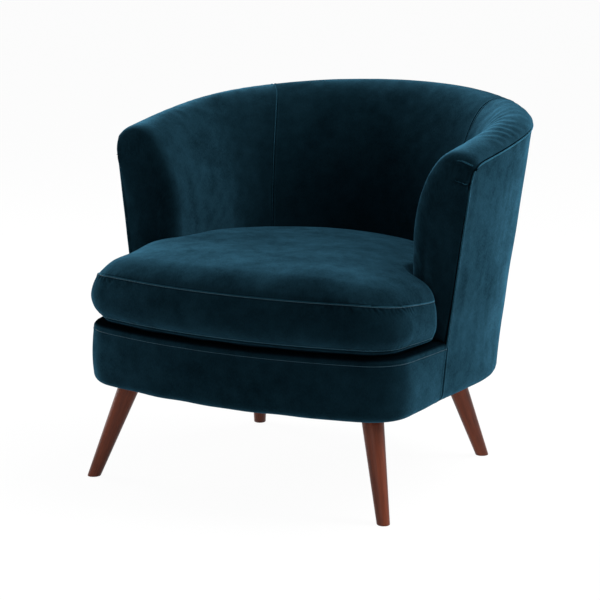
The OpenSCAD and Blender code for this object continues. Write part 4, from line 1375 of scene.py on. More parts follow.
@dataclass(frozen=True)
class CushionForm:
    """Plan and profile of the seat cushion, in mm, with y as in the plan of the base."""

    tub: TubForm
    low_seam: float = 314.0
    seam: float = 398.0
    crown: float = 446.0
    under: float = 303.5
    inset: float = 10.0
    swell: float = 14.0
    droop: float = 16.0
    ear_round: float = 34.0
    arm_gap: float = 5.5
    rear_gap: float = 9.0
    centre_y: float = -150.0
    edge_round: float = 46.0
    rear_round: float = 15.0

    @property
    def centre(self) -> Array:
        """The middle of the cushion in plan."""
        return np.array([0.0, self.centre_y])

    def fullness(self, point: Array) -> Array:
        """How full the crown is at each place: fuller at the left, as the cushion has settled."""
        x, y = point.T
        left = 3.2 + 5.8 * ease(y, -190.0, -50.0) - 4.0 * ease(y, 20.0, 220.0)
        right = 3.5 - 1.6 * ease(y, -340.0, 60.0)
        return blend(left, right, ease(x, -120.0, 200.0))

    def rise(self, flat: Array, outline: Array) -> Array:
        """How far up the crown some places lie, from 0 at the seam to 1 at the top.

        Args:
            flat: The places in plan.
            outline: The outline at the seam, around which the crown is one smooth dome.

        Returns:
            A number for each place.
        """
        facing = unit(np.arange(0.0, 360.0, 5.0))
        reach = ((outline - self.centre) @ facing.T).max(axis=0)
        gauge = np.maximum(((flat - self.centre) @ facing.T) / reach, 0.0)
        share = ((gauge**16).sum(axis=1) / 4.0) ** (1 / 16)
        dome = np.sqrt(1.0 - np.minimum(0.94 * share, 1.0) ** self.fullness(flat))
        gap = np.linalg.norm(flat[:, None] - outline[None], axis=2).min(axis=1)
        width = blend(self.rear_round, self.edge_round, ease(-flat[:, 1], 150.0, 300.0))
        return dome * np.sqrt(1.0 - (1.0 - np.minimum(gap / width, 1.0)) ** 2)

    def bend(
        self, centre: Array, radius: float, turn: tuple[float, float], swell: tuple[float, float],
        pitch: float, widen: float = 0.0, facing: float = 1.0,
    ) -> tuple[Array, Array, Array]:
        """One arc of the outline.

        Args:
            centre: Centre of the arc.
            radius: Its radius at the end.
            turn: Its first and last angle.
            swell: How much the boxing swells at its start and its end.
            pitch: Distance between the points.
            widen: What the radius has more at the start.
            facing: -1 for an arc that bends inward.

        Returns:
            Its points, their outward normals and the swell there.
        """
        angles = np.concatenate([[turn[0]], spaced(*turn, pitch, radius)])
        share = np.linspace(0.0, 1.0, len(angles))
        wide = radius + widen * (1 - share)
        return centre + wide[:, None] * unit(angles), facing * unit(angles), blend(*swell, share)

    def outline(self, pitch: float) -> tuple[Array, Array, Array]:
        """The outline at the seams, from the middle of the rear round the right side to the front and back.

        Args:
            pitch: Distance between the points.

        Returns:
            The points, their outward normals and how much the boxing swells there.
        """
        tub = self.tub
        side, front = tub.front_side, tub.front_side_radius
        turns = tub.arc_ends
        rear_side, rear_corner = turns["back_side"], turns["back_corner"]
        fore_side, fore_corner = -turns["front_side"], -turns["front_corner"]
        inward = tub.wall_depth + self.arm_gap
        out = unit(tub.arm_angle)
        ahead = np.array([out[1], -out[0]])
        corner_run = front - tub.wall_depth + tub.arm_round
        to_corner = out * math.sqrt(corner_run**2 - tub.arm_round**2) - ahead * tub.arm_round
        reach = self.arm_gap + self.ear_round
        to_ear = out * math.sqrt((front - self.inset - self.ear_round) ** 2 - reach**2) + ahead * reach
        corner_angle, ear_angle = bearing(*to_corner), bearing(*to_ear)
        ear_start = 90.0 + tub.arm_angle
        none, slight, full = (0.0, 0.0), (0.2, 0.2), (1.0, 1.0)
        wide, fine = pitch * 2.0, pitch * 0.6
        into = self.bend(
            side + to_corner, tub.arm_round + self.arm_gap, (180.0 + corner_angle, ear_start + 180.0),
            (0.2, 0.05), pitch * 0.7, facing=-1.0,
        )
        last, next_point = into[0][-1], side + to_ear + self.ear_round * unit(ear_start)
        gap = int(np.linalg.norm(next_point - last) / pitch)
        between = blend(last, next_point, np.linspace(0, 1, gap + 2)[1:-1, None])
        parts = (
            self.bend(
                tub.back, tub.back_radius - tub.wall_depth - self.rear_gap, (90.0, rear_corner), none, wide
            ),
            self.bend(
                tub.back_corner, tub.back_corner_radius - inward, (rear_corner, rear_side),
                (0.0, 0.2), wide, widen=self.arm_gap - self.rear_gap,
            ),
            self.bend(tub.back_side, tub.back_side_radius - inward, (rear_side, 0.0), slight, wide),
            self.bend(side, front - inward, (0.0, corner_angle), slight, wide),
            into,
            (between, np.repeat(into[1][-1:], gap, axis=0), np.full(gap, 0.05)),
            self.bend(side + to_ear, self.ear_round, (ear_start, ear_angle), (0.05, 0.5), fine),
            self.bend(side, front - self.inset, (ear_angle, fore_side), (0.5, 1.0), fine),
            self.bend(
                tub.front_corner * -FLIP, tub.front_corner_radius - self.inset,
                (fore_side, fore_corner), full, fine,
            ),
            self.bend(tub.front, tub.front_radius - self.inset, (fore_corner, -90.0), full, pitch * 1.1),
        )
        rows = [np.concatenate(part) for part in zip(*parts)]
        keep = apart(rows[0], 0.2)
        return tuple(
            np.concatenate([row[keep], (row[keep] * mirror)[-2:0:-1]])
            for row, mirror in zip(rows, (FLIP, FLIP, 1.0))
        )

    def seam_z(self, point: Array) -> Array:
        """Height of the upper seam over each place: it sinks towards the ears."""
        tub = self.tub
        beside = tub.half_width - tub.wall_depth - self.arm_gap - 3.0
        aside = ease(np.abs(point[:, 0]), beside, beside + 70.0)
        return self.seam - self.droop * aside * ease(point[:, 1], -tub.front_depth, -tub.arm_reach)


@dataclass
class SeatCushion:
    """The loose seat cushion: its three velvet panels as one closed skin."""

    form: CushionForm
    finishes: Finishes
    pitch: float = 4.5
    pucker: float = 1.3
    pucker_length: float = 9.0
    crown_rings: int = 46
    foot_inset: float = 20.0

    def crown_shares(self) -> Array:
        """Sizes of the crown's rings, from the seam in, at even distances over the surface."""
        fine = 1.0 - np.linspace(0.0, 1.0, 4001) ** 2
        rise = (self.form.crown - self.form.seam) * np.sqrt(np.maximum(0.0, 1.0 - fine**5))
        run = run_of(np.column_stack([fine * 300.0, rise]))
        near = np.array([0.7, 1.5, 2.4, 3.5, 5.0, 7.0, 9.5])
        even = blend(near[-1], run[-1], np.arange(1, self.crown_rings + 1) / self.crown_rings)
        return np.interp(np.concatenate([near, even]), run, fine)

    def skin(self) -> tuple[Quilt, Array]:
        """The closed skin, from the middle of the crown down to the middle of the underside.

        Returns:
            The grid, and each point's distance to the nearer seam.
        """
        form = self.form
        outline, normal, swell = form.outline(self.pitch)
        seam_z = form.seam_z(outline)
        rings: list[Array] = []

        def ring(flat: Array, z: Array | float) -> None:
            """Adds one ring of points."""
            rings.append(np.column_stack([flat + form.tub.shift, np.broadcast_to(z, len(flat))]))

        for share in self.crown_shares()[::-1]:
            flat = blend(form.centre, outline, share)
            z = form.seam_z(flat)
            ring(flat, blend(z, form.crown, form.rise(flat, outline)))
        top_seam = len(rings)
        upper, lower = [0.0, 0.008, 0.018, 0.03, 0.045, 0.065], [0.935, 0.955, 0.97, 0.982, 0.992, 1.0]
        bulge = np.polyfit((0.0, 0.18, 0.4, 0.68, 1.0), (-0.5, 0.6, 1.0, 0.8, 0.0), 4)
        for share in 1.0 - np.concatenate([upper, np.linspace(0.09, 0.91, 18), lower]):
            out = swell * form.swell * np.polyval(bulge, share)
            ring(outline + out[:, None] * normal, blend(form.low_seam, seam_z, share))
        low_seam = len(rings) - 1
        for turn in np.radians([3, 7, 12, 18, 25, 33, 42, 52, 62, 72, 81, 90]):
            out = -0.5 * swell * form.swell - self.foot_inset * (1 - math.cos(turn))
            ring(outline + out[:, None] * normal, blend(form.low_seam, form.under, math.sin(turn)))
        rim = rings[-1][:, :2] - form.tub.shift
        for share in np.linspace(1.0, 0.0, 22)[1:]:
            ring(blend(form.centre, rim, share), form.under)
        points = np.stack(rings, axis=1)
        run = np.cumsum(np.linalg.norm(np.diff(points, axis=1, prepend=points[:, :1]), axis=2), axis=1)
        down = run - run[:, top_seam : top_seam + 1]
        edge = np.minimum(np.abs(down), np.abs(run - run[:, low_seam : low_seam + 1]))
        along = np.repeat(run_of(outline)[:, None], points.shape[1], axis=1)
        self.seam_rows = (top_seam, low_seam)
        return Quilt(points, along, down, closed=True), edge

    def relief(self, quilt: Quilt, edge: Array) -> Array:
        """Seam grooves, puckers of the boxing near the front corners and the ears, and a soft uneven crown;
        also keeps painted shade for the valleys of the puckers.

        Args:
            quilt: The skin.
            edge: Distance of each point to the nearer seam.

        Returns:
            How far each point stands out, in mm.
        """
        top, low = self.seam_rows
        x, y, along = quilt.points[..., 0], quilt.points[..., 1], quilt.along
        row = np.arange(quilt.points.shape[1])[None, :]
        crown, boxing, under = row < top, (row >= top) & (row <= low), row > low
        made = -1.1 * bell(edge, 0.0, 1.0) + 0.65 * bell(edge, 2.7, 1.5)
        rise = 0.8 * wander(x, y, 190.0, 61) + 0.12 * wander(x, y, 70.0, 62)
        made += crown * ease(edge, 6.0, 60.0) * rise
        drop = np.where(boxing, quilt.down, 0.0)
        phase = along + np.sign(x) * 0.55 * drop + 2.2 * wander(along, drop, 26.0, 63)
        wave = np.sin(TURN * phase / self.pucker_length)
        wave = wave * ease(-y, 190.0, 300.0) * ease(np.abs(x), 110.0, 260.0)
        length = np.maximum(12.0, 20.0 + 9.0 * wander(along, 0.0, 17.0, 64))
        fold = ease(drop, 0.6, 3.0) * (1.0 - ease(drop, 6.0, length))
        made += self.pucker * boxing * wave * fold * (0.7 + 0.3 * wander(along, drop, 33.0, 65))
        low_fold = ease(edge, 0.6, 3.0) * (1.0 - ease(edge, 5.0, 17.0))
        made += 0.6 * self.pucker * boxing * (quilt.down > 40) * wave * low_fold
        soft = 0.9 * wander(along, drop, 120.0, 66) + 0.35 * wander(along, drop, 40.0, 67)
        made += boxing * ease(edge, 8.0, 30.0) * ease(-y, 60.0, 180.0) * soft
        made += 0.22 * crown * wave * ease(edge, 1.0, 3.0) * (1.0 - ease(edge, 5.0, 22.0))
        # Painted shade in the valleys of the puckers.
        self.valleys = np.maximum(-wave, 0.0) * (boxing * fold + 0.6 * crown * (1.0 - ease(edge, 4.0, 14.0)))
        made += under * ease(edge, 12.0, 60.0) * (-0.8 + 0.5 * wander(x, y, 160.0, 68))
        rear = ease(y, 60.0, 110.0)
        made = np.where(boxing & (rear > 0), made * (1 - rear) - 0.25 * rear, made)
        return np.clip(made, -1.2, 2.2)

    def build_skin(self) -> Object:
        """Makes the velvet skin of the cushion, with painted shade just below its seams, on its underside
        and in the valleys of its puckers.
        """
        quilt, edge = self.skin()
        top, low = self.seam_rows
        relief = self.relief(quilt, edge)
        relief[:, 0] = relief[:, 0].mean()
        quilt = quilt.faced(0, top + 12, (0.0, 1.0, 0.0)).raised(relief)
        for pole, beside in ((0, 1), (-1, -2)):
            quilt.points[:, pole] = quilt.points[:, beside].mean(axis=0)
        # Painted shade just below each seam, on the underside and in the valleys of the puckers.
        painted_seam_shade = 0.75 * (1.0 - ease(quilt.down, 1.6, 3.6)) * (quilt.down > 0.3)
        under = ease(quilt.down - quilt.down[:, low : low + 1], 8.0, 16.0)
        self.quilt = replace(quilt, shut=np.maximum(np.maximum(painted_seam_shade, under), 0.6 * self.valleys))
        along, down = quilt.along.copy(), quilt.down.copy()
        for rows in (slice(0, top - 1), slice(low + 9, None)):
            along[:, rows], down[:, rows] = quilt.points[:, rows, 0], quilt.points[:, rows, 1]
        piece = quilt_object("velvet_seat_cushion", replace(self.quilt, along=along, down=down))
        solids = ("cushion_top_panel", "cushion_boxing", "cushion_bottom_panel", "cushion_top_pad")
        register(piece, "seat_cushion", "velvet", *solids, finish=self.finishes.velvet)
        return piece


# Small repeated pieces


class Shape(Enum):
    """The small shapes: a round one for threads and teeth, a flat one for staples."""

    ROUND = "round"
    FLAT = "flat"


@dataclass
class Repeats:
    """Rows of small shapes, placed by Geometry Nodes and kept as plain meshes."""

    trees: dict[Shape, bpy.types.NodeTree] = field(default_factory=dict)

    def tree(self, shape: Shape) -> bpy.types.NodeTree:
        """The node group that puts one shape on each point.

        Args:
            shape: The shape.

        Returns:
            The group, made at its first use.
        """
        if shape in self.trees:
            return self.trees[shape]
        tree = bpy.data.node_groups.new("repeat_" + shape.value, "GeometryNodeTree")
        kinds = {"Points": "Geometry", "Seed": "Int", "Finish": "Material"}
        for name in ("Points", "Length", "Width", "Height", "Jitter", "Seed", "Finish"):
            kind = "NodeSocket" + kinds.get(name, "Float")
            tree.interface.new_socket(name=name, in_out="INPUT", socket_type=kind)
        tree.interface.new_socket(name="Pieces", in_out="OUTPUT", socket_type="NodeSocketGeometry")
        nodes = Nodes(tree)
        given = nodes.node("NodeGroupInput").outputs
        if shape is Shape.ROUND:
            body = nodes.node("GeometryNodeMeshIcoSphere", {"Radius": 0.5, "Subdivisions": 2})
        else:
            body = nodes.node("GeometryNodeMeshCube", {"Size": (1.0, 1.0, 1.0)})
        sizes = [given[name] for name in ("Length", "Width", "Height")]
        size = nodes.node("ShaderNodeCombineXYZ", dict(enumerate(sizes)))
        sized = nodes.node("GeometryNodeTransform", {"Geometry": body, "Scale": size})
        points = nodes.node("GeometryNodeMeshToPoints", {"Mesh": given["Points"]})
        facing, heading = (
            nodes.node("GeometryNodeInputNamedAttribute", {"Name": name}, data_type="FLOAT_VECTOR")
            for name in ("facing", "heading")
        )
        up = nodes.node("FunctionNodeAlignRotationToVector", {"Vector": facing}, axis="Z")
        inputs = {"Rotation": up, "Vector": heading}
        along = nodes.node("FunctionNodeAlignRotationToVector", inputs, axis="X", pivot_axis="Z")
        low, high = (nodes.maths(operation, 1.0, given["Jitter"]) for operation in ("SUBTRACT", "ADD"))
        inputs = {2: low, 3: high, "Seed": given["Seed"]}
        chance = nodes.value(1, "FunctionNodeRandomValue", inputs, data_type="FLOAT")
        inputs = {"Points": points, "Instance": sized, "Rotation": along, "Scale": chance}
        placed = nodes.node("GeometryNodeInstanceOnPoints", inputs)
        real = nodes.node("GeometryNodeRealizeInstances", {"Geometry": placed})
        smooth = nodes.node("GeometryNodeSetShadeSmooth", {0: real, "Shade Smooth": shape is Shape.ROUND})
        finish = nodes.node("GeometryNodeSetMaterial", {"Geometry": smooth, "Material": given["Finish"]})
        nodes.node("NodeGroupOutput", {0: finish})
        self.trees[shape] = tree
        return tree

    def place(
        self, name: str, points: Array, heading: Array, facing: Array, size: tuple[float, float, float],
        finish: Material, seed: int, jitter: float = 0.06, shape: Shape = Shape.ROUND,
    ) -> Object:
        """Makes one row of small shapes as a plain mesh.

        Args:
            name: Name of the piece.
            points: Their places, in mm.
            heading: The way each one's length runs.
            facing: The way each one's top faces.
            size: Length, width and height, in mm.
            finish: Their material.
            seed: Seed of the uneven sizes.
            jitter: How uneven the sizes are.
            shape: Which shape they have.

        Returns:
            The piece.
        """
        host = mesh_object(name + "_points", points, [])
        for key, value in (("heading", heading), ("facing", facing)):
            kept = host.data.attributes.new(key, "FLOAT_VECTOR", "POINT")
            kept.data.foreach_set("vector", np.asarray(value, dtype=np.float32).ravel())
        tree = self.tree(shape)
        modifier = host.modifiers.new("repeat", "NODES")
        modifier.node_group = tree
        given = dict(zip(("Length", "Width", "Height"), (s * MM for s in size)))
        given |= {"Jitter": jitter, "Seed": seed, "Finish": finish}
        for item in tree.interface.items_tree:
            if item.in_out == "INPUT" and item.name in given:
                modifier[item.identifier] = given[item.name]
        graph = bpy.context.evaluated_depsgraph_get()
        mesh = bpy.data.meshes.new_from_object(host.evaluated_get(graph))
        mesh.name = name
        made = in_scene(name, mesh)
        bpy.data.objects.remove(host)
        return made


@dataclass
class Zip:
    """The zip in the rear of the cushion's boxing: tape, coil and slider."""

    tub: TubForm
    finishes: Finishes
    repeats: Repeats
    z: float = 356.0
    radius: float = 281.1
    half_angle: float = 38.0
    tape: float = 0.6
    rib: float = 0.12
    width: float = 28.0
    coil: float = 1.7
    pitch: float = 1.7
    row_gap: float = 1.8
    slider_turn: float = 92.0

    def at(self, angle: Array, out: Array | float, z: Array) -> Array:
        """Points by angle, distance out from the boxing and height."""
        angle, out, z = np.broadcast_arrays(angle, out, z)
        flat = self.tub.back + self.tub.shift + (self.radius + out)[..., None] * unit(angle)
        return np.concatenate([flat, z[..., None]], axis=-1)

    def build_tape(self) -> Object:
        """Makes the ribbed tape."""
        angle = np.linspace(90 - self.half_angle, 90 + self.half_angle, 190)[:, None]
        across = np.linspace(-self.width / 2, self.width / 2, 29)[None, :]
        rib = self.rib * np.abs(np.sin(across * math.pi / 2.0)) + 0.05 * np.sin(angle * 40.0)
        points = self.at(angle, self.tape - self.rib + rib, self.z + across)
        along, down = np.broadcast_arrays(np.radians(angle) * self.radius, across)
        quilt = Quilt(points, along, down).faced(95, 14, (0.0, 1.0, 0.0))
        piece = quilt_object("zip_tape", quilt)
        thicken(piece, 0.5)
        register(piece, "seat_cushion", "lining", "cushion_zip", finish=self.finishes.lining)
        quilt.reach()
        return piece

    def build_coil(self) -> Object:
        """Makes the two meshing rows of the coil."""
        count = int(math.radians(2 * self.half_angle) * self.radius / self.pitch)
        step = np.arange(count)
        reach = self.half_angle - 1.0
        angle = 90 - reach + 2 * reach * step / (count - 1)
        level = np.where(step % 2 == 0, self.row_gap / 2, -self.row_gap / 2)
        points = self.at(angle, self.tape + 0.75, self.z + level)
        heading = np.column_stack([0.25 * unit(angle + 90), np.ones(count)])
        facing = np.column_stack([unit(angle), np.zeros(count)])
        size, finish = (3.2, 1.15, 1.6), self.finishes.lining
        piece = self.repeats.place("zip_coil", points, heading, facing, size, finish, seed=5, jitter=0.0)
        return register(piece, "seat_cushion", "lining")

    def build_slider(self) -> Object:
        """Makes the slider with its bridge and hanging tab, each drawn as the right half of its outline."""
        turn = self.slider_turn - self.half_angle
        base = self.tape + self.coil + 0.35
        body = [(4.9, -1.2), (4.4, -2.9), (1.0, -4.1), (-3.4, -3.6), (-4.6, -1.9)]
        body = [(s, -h) for s, h in body[::-1]] + body
        bridge = [(-3.0, 0.9), (3.4, 0.9), (3.4, -0.9), (-3.0, -0.9)]
        tab = [(1.3, 0.5), (2.4, -3.5), (2.9, -12.5), (1.7, -15.6)]
        tab = [(-1.3, 0.5)] + tab + [(-s, h) for s, h in tab[:0:-1]]
        points: list[Array] = []
        faces: list[list[int]] = []
        for shape, low, high in ((body, 0.0, 0.9), (bridge, 0.85, 1.2), (tab, 0.95, 1.75)):
            first, n = sum(len(p) for p in points), len(shape)
            s, h = np.array(shape, dtype=float).T
            angle = turn + np.degrees(s / self.radius)
            points += [self.at(angle, base + level, self.z + h) for level in (low, high)]
            faces.append([first + n + k for k in range(n)])
            faces.append([first + k for k in range(n)][::-1])
            edges = [(first + k, first + (k + 1) % n) for k in range(n)]
            faces += [[a, b, b + n, a + n] for a, b in edges]
        piece = mesh_object("zip_slider_and_tab", np.concatenate(points), faces)
        with opened(piece.data) as work:
            bmesh.ops.recalc_face_normals(work, faces=work.faces)
        round_edges(piece, 0.18)
        return register(piece, "zip_pull", "steel", "zip_slider", finish=self.finishes.steel)


# Seams


def even_run(path: Array, pitch: float, closed: bool = False) -> tuple[Array, Array]:
    """Points at an even distance along a path, with the path's direction there.

    Args:
        path: The path's points.
        pitch: The distance.
        closed: Whether the path returns to its start.

    Returns:
        The points and the directions.
    """
    if closed:
        path = np.vstack([path, path[:1]])
    run = run_of(path)
    count = max(2, int(run[-1] / pitch))
    at = (np.arange(count) + 0.5) * run[-1] / count
    ahead, behind = np.minimum(at + 1.0, run[-1]), np.maximum(at - 1.0, 0.0)
    heading = read_at(ahead, run, path) - read_at(behind, run, path)
    return read_at(at, run, path), straightened(heading)


@dataclass
class SeamThreads:
    """The threads that show in the seams of the velvet."""

    finishes: Finishes
    repeats: Repeats
    pitch: float = 4.2
    length: float = 2.9
    thick: float = 0.7
    lift: float = 0.1

    def row(self, name: str, quilt: Quilt, column: slice, row: int, body: str) -> Object:
        """Makes the stitches of one seam.

        Args:
            name: Name of the piece.
            quilt: The cover's grid, as it lies.
            column: Which columns of it.
            row: Which row of it.
            body: The body that it rides on.

        Returns:
            The piece.
        """
        path, normals = quilt.points[column, row], quilt.normals()[column, row]
        points, heading = even_run(path + self.lift * normals, self.pitch, closed=quilt.closed)
        facing, size = normals[nearest(points, path)], (self.length, self.thick, self.thick)
        piece = self.repeats.place(name, points, heading, facing, size, self.finishes.thread, seed=len(name))
        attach(piece, body)
        return piece

    def build(self, covers: ShellCovers, cushion: SeatCushion) -> list[Object]:
        """Makes the threads beside the seams of the border and the cushion."""
        top, low = cushion.seam_rows
        row = covers.border_seam_row + 2
        return [
            self.row("border_seam_thread", covers.border_quilt, slice(2, -2), row, "chair"),
            self.row("cushion_top_thread", cushion.quilt, slice(None), top + 2, "seat_cushion"),
            self.row("cushion_low_thread", cushion.quilt, slice(None), low - 2, "seat_cushion"),
        ]


@dataclass
class SeamRolls:
    """The narrow rolls of cloth that stand up along the seams."""

    finishes: Finishes
    around: int = 10
    stitch: float = 4.2
    inside_rows: int = 64
    outside_rows: int = 78
    back_rows: tuple[int, int] = (3, 62)

    def roll(
        self, name: str, path: Array, normal: Array, radius: float, lift: float, body: str,
        taper: bool = False, plain: bool = False,
    ) -> Object:
        """Makes one roll.

        Args:
            name: Name of the piece.
            path: Points of the seam.
            normal: Directions out of the cloth there.
            radius: The roll's radius, in mm.
            lift: How far its middle stands over the path.
            body: The body that it rides on.
            taper: Whether it dies away at its start.
            plain: Whether it takes the cloth's own velvet instead of the lighter copy with the painted
                highlight.

        Returns:
            The piece.
        """
        keep = apart(path, 0.05)
        path, normal = path[keep], normal[keep]
        run = run_of(path)
        even = np.linspace(0.0, run[-1], max(8, int(run[-1] / 1.4)))
        path, normal = read_at(even, run, path), read_at(even, run, normal)
        ahead = np.gradient(path, axis=0)
        if np.linalg.norm(path[0] - path[-1]) < 0.5:
            ahead[0] = ahead[-1] = path[1] - path[-2]
        ahead = straightened(ahead)
        normal = straightened(normal - (normal * ahead).sum(axis=1, keepdims=True) * ahead)
        turn = np.arange(self.around) * TURN / self.around
        pinch = radius * (1.0 + 0.07 * np.cos(TURN * even / self.stitch))
        if taper:
            pinch = radius * (0.15 + 0.85 * np.sin(np.linspace(0.0, 0.75 * math.pi, len(even))))
        aside = np.cross(ahead, normal)
        section = np.cos(turn)[:, None, None] * normal[None] + np.sin(turn)[:, None, None] * aside[None]
        points = (path + lift * normal)[None] + pinch[None, :, None] * section
        along = np.repeat((turn * radius)[:, None], len(even), axis=1)
        middle = len(even) // 2
        quilt = Quilt(points, along, np.repeat(even[None], self.around, axis=0), closed=True)
        piece = quilt_object(name, quilt.faced(0, middle, normal[middle]))
        with opened(piece.data) as work:
            rims = [e for e in work.edges if e.is_boundary]
            if rims:
                bmesh.ops.holes_fill(work, edges=rims, sides=0)
        # Unless plain, the roll takes the lighter velvet, a painted highlight along the seam.
        finish = self.finishes.velvet if plain else self.finishes.seam_pile
        return register(piece, body, "velvet", finish=finish)

    def tucks(self, covers: ShellCovers) -> list[Object]:
        """Makes the folds of the tucks at the top of the right arm front, in the lighter velvet with the
        painted highlight.
        """
        quilt = covers.inside_quilt
        cloth, normals = quilt.points.reshape(-1, 3), quilt.normals().reshape(-1, 3)
        made = []
        for number, tuck in enumerate(TUCKS, 1):
            count = len(tuck.path)
            points = read_at(np.linspace(0, count - 1, 25), np.arange(count), np.array(tuck.path))
            near = nearest(points, cloth)
            out = normals[near]
            points = points + ((cloth[near] - points) * out).sum(axis=1, keepdims=True) * out
            radius = 0.25 + 0.2 * tuck.height
            made.append(self.roll(f"arm_tuck_{number}", points, out, radius, 0.3, "chair", taper=True))
        return made

    def rim(self, covers: ShellCovers) -> Object:
        """Makes the roll up one arm front, round the rim and down the other arm front."""

        def border(grid: Array, low: int, depth: int = 0) -> Array:
            """The values up the first column, along the top row and down the last one, or some rows in."""
            return np.concatenate([grid[depth, low:0:-1], grid[:, depth], grid[-1 - depth, 1 : low + 1]])

        inside, outside, low = covers.inside_quilt, covers.outside_quilt, self.outside_rows
        first, second = border(inside.points, self.inside_rows), border(outside.points, low)
        inner, outer = border(inside.normals(), self.inside_rows), border(outside.normals(), low)
        near = nearest(second, first)
        step = border(outside.points, low, 2) - second
        path = 0.5 * (first[near] + second) + 0.5 * straightened(step)
        keep = path[:, 2] > covers.form.seam_height + 1.0
        return self.roll("seam_roll_rim", path[keep], (outer + 0.5 * inner[near])[keep], 1.55, 0.95, "chair")

    def build(self, covers: ShellCovers, cushion: SeatCushion) -> list[Object]:
        """Makes every roll."""
        border, skin, inside = covers.border_quilt, cushion.quilt, covers.inside_quilt
        made = [self.rim(covers), *self.tucks(covers)]
        row = covers.border_seam_row
        path, normal = border.points[:, row], border.normals()[:, row]
        made.append(self.roll("seam_roll_border", path, normal, 0.85, 0.55, "chair", plain=True))
        for word, seam in zip(("top", "low"), cushion.seam_rows):
            grids = (skin.points, skin.normals())
            path, normal = (np.vstack([grid[:, seam], grid[:1, seam]]) for grid in grids)
            made.append(self.roll("seam_roll_cushion_" + word, path, normal, 1.15, 0.7, "seat_cushion"))
        for word, column in zip(("right", "left"), covers.inside_seams):
            seam = (column, slice(*self.back_rows))
            path, normal = inside.points[seam], inside.normals()[seam]
            made.append(self.roll("seam_roll_back_" + word, path, normal, 0.7, 0.5, "chair"))
        return made


# Legs, lining and inner pieces


@dataclass(frozen=True)
class LegPlace:
    """One leg's foot and the turn of its splay, seen from above."""

    word: str
    x: float
    y: float
    turn: float


@dataclass
class Legs:
    """The four tapered legs, splayed and cut level at both ends. A pair has its inset and its turn."""

    tub: TubForm
    finishes: Finishes
    front_inset: float = 53.0
    back_inset: float = 140.0
    front_pair: tuple[float, float] = (28.0, -45.0)
    back_pair: tuple[float, float] = (86.0, 59.5)
    splay: float = 22.5
    foot: float = 12.0
    top: float = 21.0
    height: float = 187.4
    taper_height: float = 187.5
    edge: float = 1.6
    around: int = 64

    def places(self) -> list[LegPlace]:
        """Where the legs stand."""
        tub = self.tub
        front, back = self.front_inset - tub.front_depth, tub.back_depth - self.back_inset
        ends = (("front", *self.front_pair, front), ("back", *self.back_pair, back))
        return [
            LegPlace(f"{end}_{side}", hand * (tub.half_width - inward), y + tub.widest_y, turn)
            for end, inward, turn, y in ends
            for side, hand in (("left", -1.0), ("right", 1.0))
        ]

    def leg(self, place: LegPlace) -> Object:
        """Makes one leg.

        Args:
            place: Where it stands.

        Returns:
            The piece.
        """
        hand = math.copysign(1.0, place.x)
        lean, way = math.radians(self.splay), math.radians(place.turn + 180.0)
        side, across = math.sin(lean) * math.cos(way), math.sin(lean) * math.sin(way)
        axis = np.array([hand * side, across, math.cos(lean)])
        first = np.cross(axis, [0.0, 0.0, 1.0])
        first /= np.linalg.norm(first)
        around = np.radians(np.arange(self.around) * 360 / self.around)
        ring = np.outer(np.cos(around), first) + np.outer(np.sin(around), np.cross(axis, first))
        grow = (self.top - self.foot) / (self.taper_height / math.cos(lean))

        def cut(z: float) -> Array:
            """The cone's points at one height."""
            s = (z - self.foot * ring[:, 2]) / (axis[2] + grow * ring[:, 2])
            return np.outer(s, axis) + (self.foot + grow * s)[:, None] * ring

        def shrunk(level: Array, share: Array | float) -> Array:
            """A ring of points drawn in towards its middle."""
            return level.mean(axis=0) + (level - level.mean(axis=0)) * share

        sole = cut(0.0)
        size = np.linalg.norm(sole - sole.mean(axis=0), axis=1, keepdims=True)
        rows = [shrunk(sole, share) for share in (0.0, 0.35, 0.7)]
        for turn in np.radians((0, 22.5, 45, 67.5)):
            share = 1 - self.edge * (1 - math.sin(turn)) / size
            rows.append(shrunk(cut(self.edge * (1 - math.cos(turn))), share))
        rows += [cut(float(z)) for z in (self.edge, *np.linspace(5, self.height, 30))]
        rows.append(shrunk(rows[-1], 0.0))
        points = np.stack(rows, axis=1) + np.array([place.x, place.y, 0.0])
        z = points[..., 2]
        grain = 0.25 * wander(z, around[:, None] * 15, 90.0, 70 + int(abs(place.x)) % 7)
        start = 300.0 * (place.y > 0) + 700.0 * (hand > 0)
        down = np.repeat(z[:1], self.around, axis=0) / math.cos(lean) + start
        quilt = Quilt(points, around[:, None] * 17.0 + grain, down, closed=True)
        quilt = quilt.faced(0, 20, points[0, 20] - points[:, 20].mean(axis=0))
        piece = quilt_object("wood_leg_" + place.word, quilt)
        return register(piece, "chair", "leg_wood", "leg_" + place.word, finish=self.finishes.leg_wood)

    def build(self) -> list[Object]:
        """Makes the four legs."""
        return [self.leg(place) for place in self.places()]


